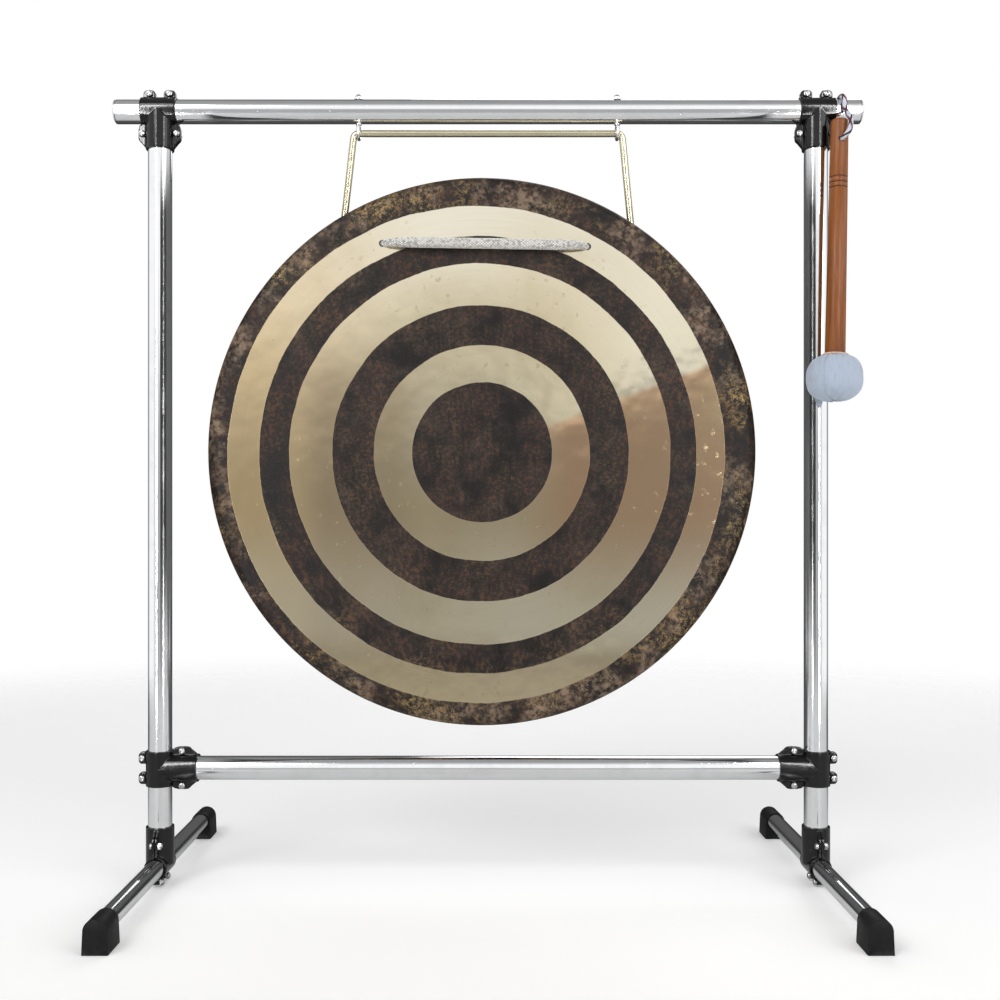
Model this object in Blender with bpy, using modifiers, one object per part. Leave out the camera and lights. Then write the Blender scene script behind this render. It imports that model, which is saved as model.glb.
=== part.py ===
"""A 657 mm tam tam hung on cords in a free-standing stand of chromed tube, with its mallet.

The stand is six tubes held by six two-half T clamps on four rubber feet. X runs along the top rail,
Y runs from front (-) to back (+), and Z is up. The origin is on the floor, midway between the feet.
"""

import math

import bpy
from mathutils import Matrix, Vector

MM = 0.001
GAP = 0.3 * MM

# Stand tubes
TUBE_R = 14 * MM
LEG_R = 11 * MM
TUBE_WALL = 1.5 * MM
UPRIGHT_X = 391 * MM
RAIL_Z = 920 * MM
RAIL_HALF = 442 * MM
CROSS_Z = 138 * MM
LEG_Z = 23 * MM
LEG_HALF = 226 * MM
TUBE_STEPS = 16
BORE_STEPS = 20

# Feet and rail plugs
FOOT_HALF_WIDTH = 12.6 * MM
FOOT_FLARE = 1 * MM
FOOT_EDGE = 1.2 * MM
FOOT_TOP = 35.6 * MM
FOOT_LENGTH = 38 * MM
FOOT_OUTER_Y = 230 * MM
PLUG_LENGTH = 16 * MM
PLUG_HEAD = 3 * MM

# T clamps: the through tube runs along local X, and the branch tube along local -Z
CLAMP_WALL = 2.5 * MM
CLAMP_HALF_WIDTH = 21 * MM
CLAMP_SLEEVE = 46 * MM
CLAMP_PLATE = 3 * MM
BRANCH_INTO_BAND = 3 * MM
CLAMP_SPLIT = 0.3 * MM
CUTTER_SIZE = 200 * MM
WING_X = 25 * MM
WING_BOLT = (20.4 * MM, -27 * MM)
LUG_X = 12 * MM
LUG_HALF_WIDTH = 7 * MM
LUG_PAST_BOLT = 4.4 * MM
LUG_PAST_BOLT_LOW = 3 * MM
LUG_BOLT_PAST_TUBE = 6.4 * MM
BOLT_R = 2.5 * MM
BOLT_HEAD_R = 4 * MM
BOLT_HEAD = 3.2 * MM
BOLT_NUT = 4 * MM
BOLT_TAIL = 1.2 * MM
BOLT_STEPS = 8

# Eye bolts through the top rail
EYE_HALF_SPACING = 154 * MM
EYE_WIRE_R = 2 * MM
EYE_RING_R = 8 * MM
SHANK_R = 2.5 * MM
SHANK_PAST_RAIL = 3.5 * MM
ACORN_R = 5.5 * MM
ACORN_HEIGHT = 6.5 * MM
ACORN_BORE = 4 * MM
ACORN_TIP = 0.6 * MM

# Gong
GONG_R = 328.5 * MM
GONG_X = -7.4 * MM
GONG_Z = 515.4 * MM
GONG_FACE_Y = -2.77 * MM
GONG_TILT = math.radians(0.9)
GONG_WALL = 2.5 * MM
GONG_DOME = 2 * MM
GONG_DEPTH = 30 * MM
SHOULDER_R = 13 * MM
RIM_LEAN = math.radians(8)
GONG_STEPS = 40
FACE_HOLE = (122 * MM, 245.2 * MM)
FACE_HOLE_R = 6.5 * MM
RIM_HOLE_ANGLE = math.radians(31.85)
RIM_HOLE_SKEW = math.radians(0.55)
RIM_HOLE_DEPTH = 15 * MM
RIM_HOLE_R = 7 * MM

# Cords
HANGER_R = 4 * MM
HANGER_BEND = 6.4 * MM
SWING_Z = 894 * MM
HITCH_R = 10.6 * MM
HITCH_DEPTH = 7.2 * MM
HITCH_PITCH = 9.2 * MM
FRONT_CORD_R = 6 * MM
FRONT_CORD_BEND = 8 * MM
FRONT_CORD_STUB = 22 * MM
KNOT_R = 10 * MM
KNOT_DEPTH = 29 * MM
WRIST_CORD_R = 3 * MM
WRIST_CORD_X = 420.3 * MM
WRIST_CORD_OFF_RAIL = 0.8 * MM
CORD_INTO_HOLE = 0.6 * MM

# Mallet, hung by its wrist cord over the right end of the rail
MALLET_TOP = Vector((412, -24, 902)) * MM
MALLET_HEAD = Vector((399.5, -46.2, 597)) * MM
HANDLE_TOP_R = 10.2 * MM
HANDLE_END_R = 11.75 * MM
HANDLE_ROUND = 3.5 * MM
HANDLE_INTO_HEAD = 8 * MM
GROOVES_AT = (70 * MM, 76.5 * MM, 82.5 * MM)
GROOVE_HALF = 0.8 * MM
CORD_HOLE_AT = 25 * MM
CORD_HOLE_R = 3.6 * MM
HEAD_R = 32 * MM
HEAD_HALF_HEIGHT = 27 * MM
HEAD_COVER = 2.5 * MM
HEAD_MOUTH_R = 13.5 * MM
CORE_GAP = 0.8 * MM


# Scene helpers

def clear_scene():
    for obj in list(bpy.data.objects):
        bpy.data.objects.remove(obj, do_unlink=True)


def new_collection(name):
    made = bpy.data.collections.new(name)
    bpy.context.scene.collection.children.link(made)
    return made


def new_material(name, colour, roughness, metallic):
    made = bpy.data.materials.new(name)
    made.use_nodes = True
    shader = made.node_tree.nodes["Principled BSDF"]
    shader.inputs["Base Color"].default_value = (*colour, 1)
    shader.inputs["Roughness"].default_value = roughness
    shader.inputs["Metallic"].default_value = metallic
    return made


clear_scene()
PARTS = new_collection("tam_tam_gong")
TOOLS = new_collection("cutters")
CHROME = new_material("chrome", (0.78, 0.78, 0.80), 0.12, 1)
BLACK = new_material("clamp_black", (0.02, 0.02, 0.02), 0.25, 0.4)
RUBBER = new_material("rubber_black", (0.025, 0.025, 0.027), 0.6, 0)
ZINC = new_material("zinc", (0.75, 0.75, 0.76), 0.25, 1)
BRONZE = new_material("gong_bronze", (0.72, 0.62, 0.42), 0.3, 1)
GOLD_CORD = new_material("gold_cord", (0.62, 0.52, 0.27), 0.5, 0)
WHITE_CORD = new_material("white_cord", (0.62, 0.60, 0.55), 0.9, 0)
FLECKED_CORD = new_material("flecked_cord", (0.75, 0.78, 0.85), 0.8, 0)
WOOD = new_material("handle_wood", (0.50, 0.20, 0.06), 0.45, 0)
FABRIC = new_material("head_fabric", (0.58, 0.62, 0.74), 0.95, 0)
FELT = new_material("head_felt", (0.80, 0.55, 0.42), 0.95, 0)


def add(name, data, material=None):
    """A new object in the model, or, with no material, a tool that shapes other objects."""
    obj = bpy.data.objects.new(name, data)
    if material is None:
        TOOLS.objects.link(obj)
        obj.hide_render = True
        obj.display_type = "WIRE"
    else:
        PARTS.objects.link(obj)
        obj.data.materials.append(material)
    return obj


def empty_at(name, place):
    obj = bpy.data.objects.new(name, None)
    obj.location = place
    PARTS.objects.link(obj)
    return obj


def hang(obj, axis):
    """Parents the object to the empty on its joint's axis and leaves it where it is."""
    obj.parent = axis
    obj.matrix_parent_inverse = Matrix.Translation(-axis.location)
    return obj


def along(direction, place=(0, 0, 0)):
    """The matrix that turns local +Z to a direction and moves the origin to a place."""
    turn = Vector(direction).to_track_quat("Z", "Y").to_matrix().to_4x4()
    return Matrix.Translation(place) @ turn


def turned(name, profile, material=None, steps=TUBE_STEPS):
    """A solid turned about local Z from (radius, height) points that run down its outer side."""
    mesh = bpy.data.meshes.new(name)
    last = len(profile) - 1
    edges = [(i, i + 1) for i in range(last)]
    if profile[0][0] > 0:
        edges.append((last, 0))
    mesh.from_pydata([(radius, 0, height) for radius, height in profile], edges, [])
    obj = add(name, mesh, material)
    screw = obj.modifiers.new("turn", "SCREW")
    screw.steps = steps
    screw.render_steps = steps
    screw.use_merge_vertices = True
    screw.merge_threshold = 0.00001
    screw.use_smooth_shade = True
    return obj


def rod(name, radius, start, end, steps=TUBE_STEPS):
    """A cylinder between two points, for shaping other objects."""
    start = Vector(start)
    run = Vector(end) - start
    profile = [(0, run.length), (radius, run.length), (radius, 0), (0, 0)]
    obj = turned(name, profile, steps=steps)
    obj.matrix_world = along(run, start)
    return obj


def shape_with(obj, tool, operation):
    change = obj.modifiers.new(tool.name, "BOOLEAN")
    change.operation = operation
    change.object = tool
    return obj


def cut(obj, tool):
    return shape_with(obj, tool, "DIFFERENCE")


def join(obj, tool):
    return shape_with(obj, tool, "UNION")


def as_mesh(obj):
    """The object's finished shape, in its own space, as a plain mesh."""
    bpy.context.view_layer.update()
    graph = bpy.context.evaluated_depsgraph_get()
    return bpy.data.meshes.new_from_object(obj.evaluated_get(graph))


def cord_curve(name, points, radius, material=None):
    """A round cord along the points."""
    curve = bpy.data.curves.new(name, "CURVE")
    curve.dimensions = "3D"
    curve.bevel_depth = radius
    curve.bevel_resolution = 2
    curve.use_fill_caps = True
    spline = curve.splines.new("POLY")
    spline.points.add(len(points) - 1)
    for point, place in zip(spline.points, points):
        point.co = (*place, 1)
    return add(name, curve, material)


def smooth_route(points, spacing):
    """Points about a spacing apart on the centripetal Catmull-Rom curve through a route's own points."""
    route = [2 * points[0] - points[1], *points, 2 * points[-1] - points[-2]]
    made = []
    for a, b, c, d in zip(route, route[1:], route[2:], route[3:]):
        t1 = math.sqrt((b - a).length)
        t2 = t1 + math.sqrt((c - b).length)
        t3 = t2 + math.sqrt((d - c).length)
        pieces = max(1, round((c - b).length / spacing))
        for i in range(pieces):
            t = t1 + (t2 - t1) * i / pieces
            ab = a + (b - a) * t / t1
            bc = b + (c - b) * (t - t1) / (t2 - t1)
            cd = c + (d - c) * (t - t2) / (t3 - t2)
            abc = ab + (bc - ab) * t / t2
            bcd = bc + (cd - bc) * (t - t1) / (t3 - t1)
            made.append(abc + (bcd - abc) * (t - t1) / (t2 - t1))
    return [*made, points[-1]]


# Stand

def tube(name, radius, start, end):
    """A hollow tube between two points."""
    start = Vector(start)
    run = Vector(end) - start
    bore = radius - TUBE_WALL
    profile = [(radius, run.length), (radius, 0), (bore, 0), (bore, run.length)]
    obj = turned(name, profile, CHROME)
    obj.matrix_world = along(run, start)
    return obj


def top_rail():
    rail = tube("top_rail", TUBE_R, (-RAIL_HALF, 0, RAIL_Z), (RAIL_HALF, 0, RAIL_Z))
    for side, x in eye_places():
        drill = rod(f"rail_drill_{side}", SHANK_R + GAP, (x, 0, 0.9 * RAIL_Z), (x, 0, 1.1 * RAIL_Z))
        cut(rail, drill)


def frame_tubes():
    for side, sign in (("left", -1), ("right", 1)):
        x = sign * UPRIGHT_X
        low = (x, 0, LEG_Z + LEG_R + 2 * GAP)
        high = (x, 0, RAIL_Z - TUBE_R - 2 * GAP)
        tube(f"{side}_upright", TUBE_R, low, high)
        tube(f"{side}_leg", LEG_R, (x, -LEG_HALF, LEG_Z), (x, LEG_HALF, LEG_Z))
    half = UPRIGHT_X - TUBE_R - 2 * GAP
    tube("cross_rail", TUBE_R, (-half, 0, CROSS_Z), (half, 0, CROSS_Z))


def rail_plug(side, sign):
    """A domed cap whose spigot fills the rail's end."""
    spigot = TUBE_R - TUBE_WALL - GAP
    profile = [(0, PLUG_HEAD), (0.55 * TUBE_R, 0.85 * PLUG_HEAD), (0.9 * TUBE_R, 0.45 * PLUG_HEAD)]
    profile += [(TUBE_R, 0), (TUBE_R, -GAP), (spigot, -GAP), (spigot, -PLUG_LENGTH), (0, -PLUG_LENGTH)]
    plug = turned(f"{side}_rail_plug", profile, CHROME)
    plug.matrix_world = along((sign, 0, 0), (sign * (RAIL_HALF + 2 * GAP), 0, RAIL_Z))


def foot(name, x, sign):
    """A moulded foot: an arch over the leg tube on a flat base, with a blind socket."""
    arch = FOOT_TOP - LEG_Z
    base = FOOT_HALF_WIDTH + FOOT_FLARE
    outline = [(-base, 0), (base, 0)]
    for i in range(9):
        angle = math.pi * i / 8
        outline.append((FOOT_HALF_WIDTH * math.cos(angle), LEG_Z + arch * math.sin(angle)))
    curve = bpy.data.curves.new(name, "CURVE")
    curve.dimensions = "2D"
    curve.fill_mode = "BOTH"
    curve.extrude = FOOT_LENGTH / 2
    spline = curve.splines.new("POLY")
    spline.points.add(len(outline) - 1)
    for point, (across, up) in zip(spline.points, outline):
        point.co = (across, up, 0, 1)
    spline.use_cyclic_u = True
    block = as_mesh(add(f"{name}_outline", curve))
    obj = add(name, block, RUBBER)
    turn = Matrix.Rotation(math.pi / 2, 4, "X")
    obj.matrix_world = Matrix.Translation((x, sign * (FOOT_OUTER_Y - FOOT_LENGTH / 2), 0)) @ turn
    weld = obj.modifiers.new("weld", "WELD")
    weld.merge_threshold = 0.00001
    bevel = obj.modifiers.new("edges", "BEVEL")
    bevel.width = FOOT_EDGE
    bevel.segments = 1
    bevel.limit_method = "ANGLE"
    bevel.angle_limit = math.radians(50)
    socket_end = sign * (LEG_HALF + 2 * GAP)
    socket = rod(f"{name}_socket", LEG_R + GAP, (x, 0, LEG_Z), (x, socket_end, LEG_Z))
    cut(obj, socket)


def feet():
    for end, sign in (("front", -1), ("rear", 1)):
        foot(f"{end}_left_foot", -UPRIGHT_X, sign)
        foot(f"{end}_right_foot", UPRIGHT_X, sign)


# Clamps

def lug_bolt_height(through_r):
    return through_r + LUG_BOLT_PAST_TUBE


def clamp_outline(through_r):
    """The flat pressing of one clamp half: two lugs past the through tube, two wings by the branch."""
    low = through_r < TUBE_R
    lug_top = lug_bolt_height(through_r) + (LUG_PAST_BOLT_LOW if low else LUG_PAST_BOLT)
    lug_in = LUG_X - LUG_HALF_WIDTH
    lug_out = LUG_X + LUG_HALF_WIDTH
    corner = 3.5 * MM
    half = [
        (TUBE_R + CLAMP_WALL, -CLAMP_SLEEVE + 2 * MM),
        (WING_X, -CLAMP_SLEEVE + 10 * MM),
        (WING_X, -through_r - 5 * MM),
        (lug_out + 1.5 * MM, -through_r),
        (lug_out, lug_top - corner),
        (lug_out - corner, lug_top),
        (lug_in + corner, lug_top),
        (lug_in, lug_top - corner),
        (lug_in, through_r - 2 * MM),
    ]
    return half + [(-x, z) for x, z in reversed(half)]


def clamp_half_mesh(name, through_r):
    """One half of a clamp on the +Y side of its split, with both bores and four bolt holes."""
    curve = bpy.data.curves.new(f"{name}_plate", "CURVE")
    curve.dimensions = "2D"
    curve.fill_mode = "BOTH"
    curve.extrude = CLAMP_PLATE
    outline = clamp_outline(through_r)
    spline = curve.splines.new("POLY")
    spline.points.add(len(outline) - 1)
    for point, (across, up) in zip(spline.points, outline):
        point.co = (across, up, 0, 1)
    spline.use_cyclic_u = True
    plate = add(f"{name}_half", as_mesh(add(f"{name}_outline", curve)))
    plate.data.transform(Matrix.Rotation(math.pi / 2, 4, "X"))
    plate.data.transform(Matrix.Translation((0, CLAMP_SPLIT, 0)))
    weld = plate.modifiers.new("weld", "WELD")
    weld.merge_threshold = 0.00001
    band_r = through_r + CLAMP_WALL
    sleeve_r = TUBE_R + CLAMP_WALL
    half = CLAMP_HALF_WIDTH
    join(plate, rod(f"{name}_band", band_r, (-half, 0, 0), (half, 0, 0)))
    join(plate, rod(f"{name}_sleeve", sleeve_r, (0, 0, -CLAMP_SLEEVE), (0, 0, -1 * MM)))
    bpy.ops.mesh.primitive_cube_add(size=1)
    other_side = bpy.context.object
    other_side.name = f"{name}_other_side"
    other_side.data.transform(Matrix.Scale(CUTTER_SIZE, 4))
    other_side.location = (0, CLAMP_SPLIT - CUTTER_SIZE / 2, 0)
    other_side.hide_render = True
    cut(plate, other_side)
    branch_low = (0, 0, -2 * CLAMP_SLEEVE)
    branch_top = (0, 0, BRANCH_INTO_BAND - through_r)
    cut(plate, rod(f"{name}_branch_bore", TUBE_R + GAP, branch_low, branch_top, BORE_STEPS))
    cut(plate, rod(f"{name}_bore", through_r + GAP, (-3 * half, 0, 0), (3 * half, 0, 0), BORE_STEPS))
    for i, (x, z) in enumerate(bolt_places(through_r)):
        hole = rod(f"{name}_hole_{i}", BOLT_R + GAP, (x, -half, z), (x, half, z), BOLT_STEPS)
        cut(plate, hole)
    return as_mesh(plate)


def bolt_places(through_r):
    """The (x, z) of a clamp's four bolts in its own frame: two in the lugs, two in the wings."""
    up = lug_bolt_height(through_r)
    across, down = WING_BOLT
    return [(-LUG_X, up), (LUG_X, up), (-across, down), (across, down)]


def bolt_mesh():
    """A round-head bolt with its nut run up, along local Z, centred on the clamp's split."""
    grip = CLAMP_SPLIT + CLAMP_PLATE + GAP
    profile = [
        (0, grip + BOLT_HEAD),
        (0.7 * BOLT_HEAD_R, grip + BOLT_HEAD),
        (BOLT_HEAD_R, grip + 0.5 * BOLT_HEAD),
        (BOLT_HEAD_R, grip),
        (BOLT_R, grip),
        (BOLT_R, -grip),
        (BOLT_HEAD_R, -grip),
        (BOLT_HEAD_R, -grip - BOLT_NUT),
        (BOLT_R, -grip - BOLT_NUT),
        (BOLT_R, -grip - BOLT_NUT - BOLT_TAIL),
        (0, -grip - BOLT_NUT - BOLT_TAIL),
    ]
    return as_mesh(turned("bolt_pattern", profile, steps=BOLT_STEPS))


def clamp_frames():
    """(name, frame, through-tube radius) of the six clamps."""
    found = []
    for side, sign in (("left", -1), ("right", 1)):
        x = sign * UPRIGHT_X
        found.append((f"{side}_top_clamp", Matrix.Translation((x, 0, RAIL_Z)), TUBE_R))
        inwards = Matrix.Rotation(sign * math.pi / 2, 4, "Y")
        found.append((f"{side}_mid_clamp", Matrix.Translation((x, 0, CROSS_Z)) @ inwards, TUBE_R))
        upwards = Matrix(((0, 1, 0, 0), (1, 0, 0, 0), (0, 0, -1, 0), (0, 0, 0, 1)))
        found.append((f"{side}_base_clamp", Matrix.Translation((x, 0, LEG_Z)) @ upwards, LEG_R))
    return found


def clamps():
    halves = {r: clamp_half_mesh(f"clamp_{round(r / MM)}", r) for r in (TUBE_R, LEG_R)}
    bolt = bolt_mesh()
    for mesh in halves.values():
        mesh.materials.append(BLACK)
    bolt.materials.append(ZINC)
    half_turn = Matrix.Rotation(math.pi, 4, "Z")
    for name, frame, through_r in clamp_frames():
        for side, turn in (("back", Matrix.Identity(4)), ("front", half_turn)):
            half = bpy.data.objects.new(f"{name}_{side}", halves[through_r])
            PARTS.objects.link(half)
            half.matrix_world = frame @ turn
        for i, (x, z) in enumerate(bolt_places(through_r)):
            screw = bpy.data.objects.new(f"{name}_bolt_{i + 1}", bolt)
            PARTS.objects.link(screw)
            screw.matrix_world = frame @ along((0, -1, 0), (x, 0, z))


# Eye bolts

def eye_places():
    return (("left", -EYE_HALF_SPACING), ("right", EYE_HALF_SPACING))


def eye_bolts():
    """Each eye hangs under the rail, its shank goes through it, and a domed nut closes it on top."""
    ring_z = SWING_Z - HANGER_BEND + EYE_RING_R
    for side, x in eye_places():
        bpy.ops.mesh.primitive_torus_add(
            major_radius=EYE_RING_R,
            minor_radius=EYE_WIRE_R,
            major_segments=22,
            minor_segments=8,
            location=(x, 0, ring_z),
            rotation=(0, math.pi / 2, 0),
        )
        eye = bpy.context.object
        eye.name = f"{side}_eye_bolt"
        eye.data.materials.append(CHROME)
        for owner in list(eye.users_collection):
            owner.objects.unlink(eye)
        PARTS.objects.link(eye)
        shank_top = RAIL_Z + TUBE_R + SHANK_PAST_RAIL
        shank_low = ring_z + EYE_RING_R + 0.3 * EYE_WIRE_R
        join(eye, rod(f"{side}_shank", SHANK_R, (x, 0, shank_low), (x, 0, shank_top), 12))
        bore = SHANK_R + GAP
        profile = [(0, ACORN_HEIGHT), (0.6 * ACORN_R, 0.86 * ACORN_HEIGHT)]
        profile.append((0.9 * ACORN_R, 0.6 * ACORN_HEIGHT))
        profile += [(ACORN_R, 0.45 * ACORN_HEIGHT), (ACORN_R, 0), (bore, 0)]
        profile += [(bore, ACORN_BORE), (0, ACORN_BORE + ACORN_TIP)]
        nut = turned(f"{side}_acorn_nut", profile, CHROME, 12)
        nut.location = (x, 0, RAIL_Z + TUBE_R + GAP)


# Gong

def gong_point(x, depth, z):
    """A place in the room from one in the gong's own frame: depth is behind the face."""
    turn = Matrix.Rotation(GONG_TILT, 3, "Y")
    return turn @ Vector((x, depth, z)) + Vector((GONG_X, GONG_FACE_Y, GONG_Z))


def gong_side(inset):
    """(radius, height) points from the centre over the face and shoulder to the rim's back edge."""
    points = []
    flat_r = GONG_R - SHOULDER_R
    for share in (0, 0.4, 0.75):
        points.append((share * flat_r, GONG_DOME * (1 - share**2) - inset))
    corner = SHOULDER_R - inset
    for i in range(6):
        angle = math.pi / 2 - (math.pi / 2 + RIM_LEAN) * i / 5
        points.append((flat_r + corner * math.cos(angle), corner * math.sin(angle) - SHOULDER_R))
    radius, height = points[-1]
    run = height + GONG_DEPTH
    points.append((radius - run * math.tan(RIM_LEAN), -GONG_DEPTH))
    return points


def gong_plate():
    """A bronze disc with a rounded shoulder and a rim turned back, and two pairs of cord holes."""
    profile = gong_side(0) + gong_side(GONG_WALL)[::-1]
    gong = turned("gong_plate", profile, BRONZE, GONG_STEPS)
    gong.matrix_world = along((0, -1, 0), gong_point(0, 0, 0))
    hole_x, hole_z = FACE_HOLE
    for side, sign in (("left", -1), ("right", 1)):
        front = gong_point(sign * hole_x, -20 * MM, hole_z)
        back = gong_point(sign * hole_x, 20 * MM, hole_z)
        cut(gong, rod(f"{side}_face_drill", FACE_HOLE_R, front, back, 20))
        angle = rim_hole_angle(sign)
        out = Vector((sign * math.sin(angle), 0, math.cos(angle)))
        inside = out * (GONG_R - 20 * MM)
        outside = out * (GONG_R + 20 * MM)
        cut(gong, rod(
            f"{side}_rim_drill",
            RIM_HOLE_R,
            gong_point(inside.x, RIM_HOLE_DEPTH, inside.z),
            gong_point(outside.x, RIM_HOLE_DEPTH, outside.z),
        ))
    return gong


def rim_hole_angle(sign):
    """How far a rim hole is from the top of the gong: the right one is a little further."""
    return RIM_HOLE_ANGLE + sign * RIM_HOLE_SKEW


def hanger_half(sign):
    """Half the hanging cord's route, from the middle of its top run to the tail of its hitch."""
    eye_x = sign * EYE_HALF_SPACING
    route = [Vector((0, 0, SWING_Z)), Vector((0.9 * eye_x, 0, SWING_Z))]
    for i in range(5):
        angle = math.pi / 2 * i / 4
        across = sign * HANGER_BEND * math.sin(angle)
        down = HANGER_BEND * (1 - math.cos(angle))
        route.append(Vector((eye_x + across, 0, SWING_Z - down)))
    rim_r = GONG_R - 2 * MM
    rim_angle = rim_hole_angle(sign)
    rim_x = sign * rim_r * math.sin(rim_angle)
    rim_z = rim_r * math.cos(rim_angle)
    rim = gong_point(rim_x, RIM_HOLE_DEPTH, rim_z)
    route.append(route[-1].lerp(rim, 0.45))
    route.append(route[-2].lerp(rim, 0.88))
    route.append(rim)
    route.append(gong_point(rim_x - sign * 0.6 * MM, RIM_HOLE_DEPTH - 0.5 * MM, rim_z - 9 * MM))
    route.append(gong_point(rim_x + sign * -8 * MM, RIM_HOLE_DEPTH - 3 * MM, rim_z - 16.5 * MM))
    route.append(gong_point(rim_x + sign * -21 * MM, HITCH_DEPTH + 2 * MM, rim_z - 19.5 * MM))
    hole_x, hole_z = FACE_HOLE
    for i in range(13):
        angle = math.radians(120 - 27.5 * i)
        x = sign * (hole_x - HITCH_R * math.cos(angle))
        depth = HITCH_DEPTH + HITCH_PITCH * i / 12
        route.append(gong_point(x, depth, hole_z + HITCH_R * math.sin(angle)))
    tail_x = sign * (hole_x + 4 * MM)
    route.append(gong_point(tail_x, HITCH_DEPTH + HITCH_PITCH + 1 * MM, hole_z + 19 * MM))
    route.append(gong_point(tail_x + sign * -3 * MM, HITCH_DEPTH + HITCH_PITCH + 2 * MM, hole_z + 29 * MM))
    return route


def hanging_cord():
    """One cord: hitched behind the left face hole, out of the rim, through both eyes, and back."""
    left = hanger_half(-1)
    right = hanger_half(1)
    points = smooth_route([*left[:0:-1], *right], 9 * MM)
    return cord_curve("hanging_cord", points, HANGER_R, GOLD_CORD)


def front_cord_route():
    """From behind the left face hole, across the front of the gong, to behind the right one."""
    hole_x, hole_z = FACE_HOLE
    front = -GONG_DOME - FRONT_CORD_R - GAP
    half = [(hole_x, FRONT_CORD_STUB), (hole_x, 12 * MM), (hole_x, front + FRONT_CORD_BEND)]
    for i in range(1, 5):
        angle = math.pi / 2 * i / 4
        x = hole_x - FRONT_CORD_BEND * (1 - math.cos(angle))
        half.append((x, front + FRONT_CORD_BEND * (1 - math.sin(angle))))
    half += [(0.6 * hole_x, front), (0.2 * hole_x, front)]
    places = [(-x, depth) for x, depth in half] + half[::-1]
    return [gong_point(x, depth, hole_z) for x, depth in places]


def front_cord():
    """The carrying cord on the gong's face, with a stopper knot at each end behind it."""
    hole_x, hole_z = FACE_HOLE
    curve = cord_curve("front_cord_line", front_cord_route(), FRONT_CORD_R)
    obj = add("front_cord", as_mesh(curve), WHITE_CORD)
    weld = obj.modifiers.new("weld", "WELD")
    weld.merge_threshold = 0.00001
    for side, sign in (("left", -1), ("right", 1)):
        bpy.ops.mesh.primitive_ico_sphere_add(subdivisions=2, radius=KNOT_R)
        knot = bpy.context.object
        knot.name = f"{side}_knot"
        knot.location = gong_point(sign * hole_x, KNOT_DEPTH, hole_z)
        knot.hide_render = True
        join(obj, knot)
    return obj


# Mallet

def mallet_frame():
    """Local +Z runs from the mallet's head up its handle, and the origin is the handle's top."""
    return along(MALLET_TOP - MALLET_HEAD, MALLET_TOP)


def handle():
    """A turned wooden handle, a little thicker at the head, with three grooves and a cord hole."""
    reach = (MALLET_TOP - MALLET_HEAD).length + HANDLE_INTO_HEAD
    profile = [(0, 0), (HANDLE_TOP_R - HANDLE_ROUND, 0), (HANDLE_TOP_R, -HANDLE_ROUND)]
    for at in GROOVES_AT:
        radius = HANDLE_TOP_R + (HANDLE_END_R - HANDLE_TOP_R) * at / reach
        profile += [(radius, -at + GROOVE_HALF), (radius - GROOVE_HALF, -at), (radius, -at - GROOVE_HALF)]
    profile += [(HANDLE_END_R, -reach + 1 * MM), (HANDLE_END_R - 1 * MM, -reach), (0, -reach)]
    obj = turned("mallet_handle", profile, WOOD, 18)
    obj.matrix_world = mallet_frame()
    hole = MALLET_TOP + (MALLET_HEAD - MALLET_TOP).normalized() * CORD_HOLE_AT
    front = hole + Vector((0, -30 * MM, 0))
    back = hole + Vector((0, 30 * MM, 0))
    return cut(obj, rod("cord_drill", CORD_HOLE_R, front, back, 12))


def head_side(inset, mouth_r):
    """(radius, height) points from the mouth round the padded head to its lowest point."""
    centre = -(MALLET_TOP - MALLET_HEAD).length
    wide = HEAD_R - inset
    tall = HEAD_HALF_HEIGHT - inset
    first = math.asin((mouth_r / wide) ** 1.25)
    points = []
    for i in range(9):
        angle = first + (math.pi - first) * i / 8
        radius = wide * abs(math.sin(angle)) ** 0.8
        height = tall * math.copysign(abs(math.cos(angle)) ** 0.8, math.cos(angle))
        points.append((radius if i < 8 else 0, centre + height))
    return points


def head_cover():
    """A sewn fabric cover, open round the handle."""
    profile = head_side(0, HEAD_MOUTH_R) + head_side(HEAD_COVER, HEAD_MOUTH_R)[::-1]
    profile.append(profile[0])
    obj = turned("mallet_head_cover", profile[:-1], FABRIC, 20)
    obj.matrix_world = mallet_frame()
    return obj


def head_core():
    """The felt core inside the cover, bored for the handle."""
    centre = -(MALLET_TOP - MALLET_HEAD).length
    inset = HEAD_COVER + CORE_GAP
    bore = HANDLE_END_R + GAP
    floor = centre - HANDLE_INTO_HEAD - GAP
    side = head_side(inset, HEAD_MOUTH_R + 0.5 * MM)
    top = side[0][1]
    profile = [(0, floor), (bore, floor), (bore, top), *side]
    obj = turned("mallet_core", profile, FELT, 20)
    obj.matrix_world = mallet_frame()
    return obj


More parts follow.
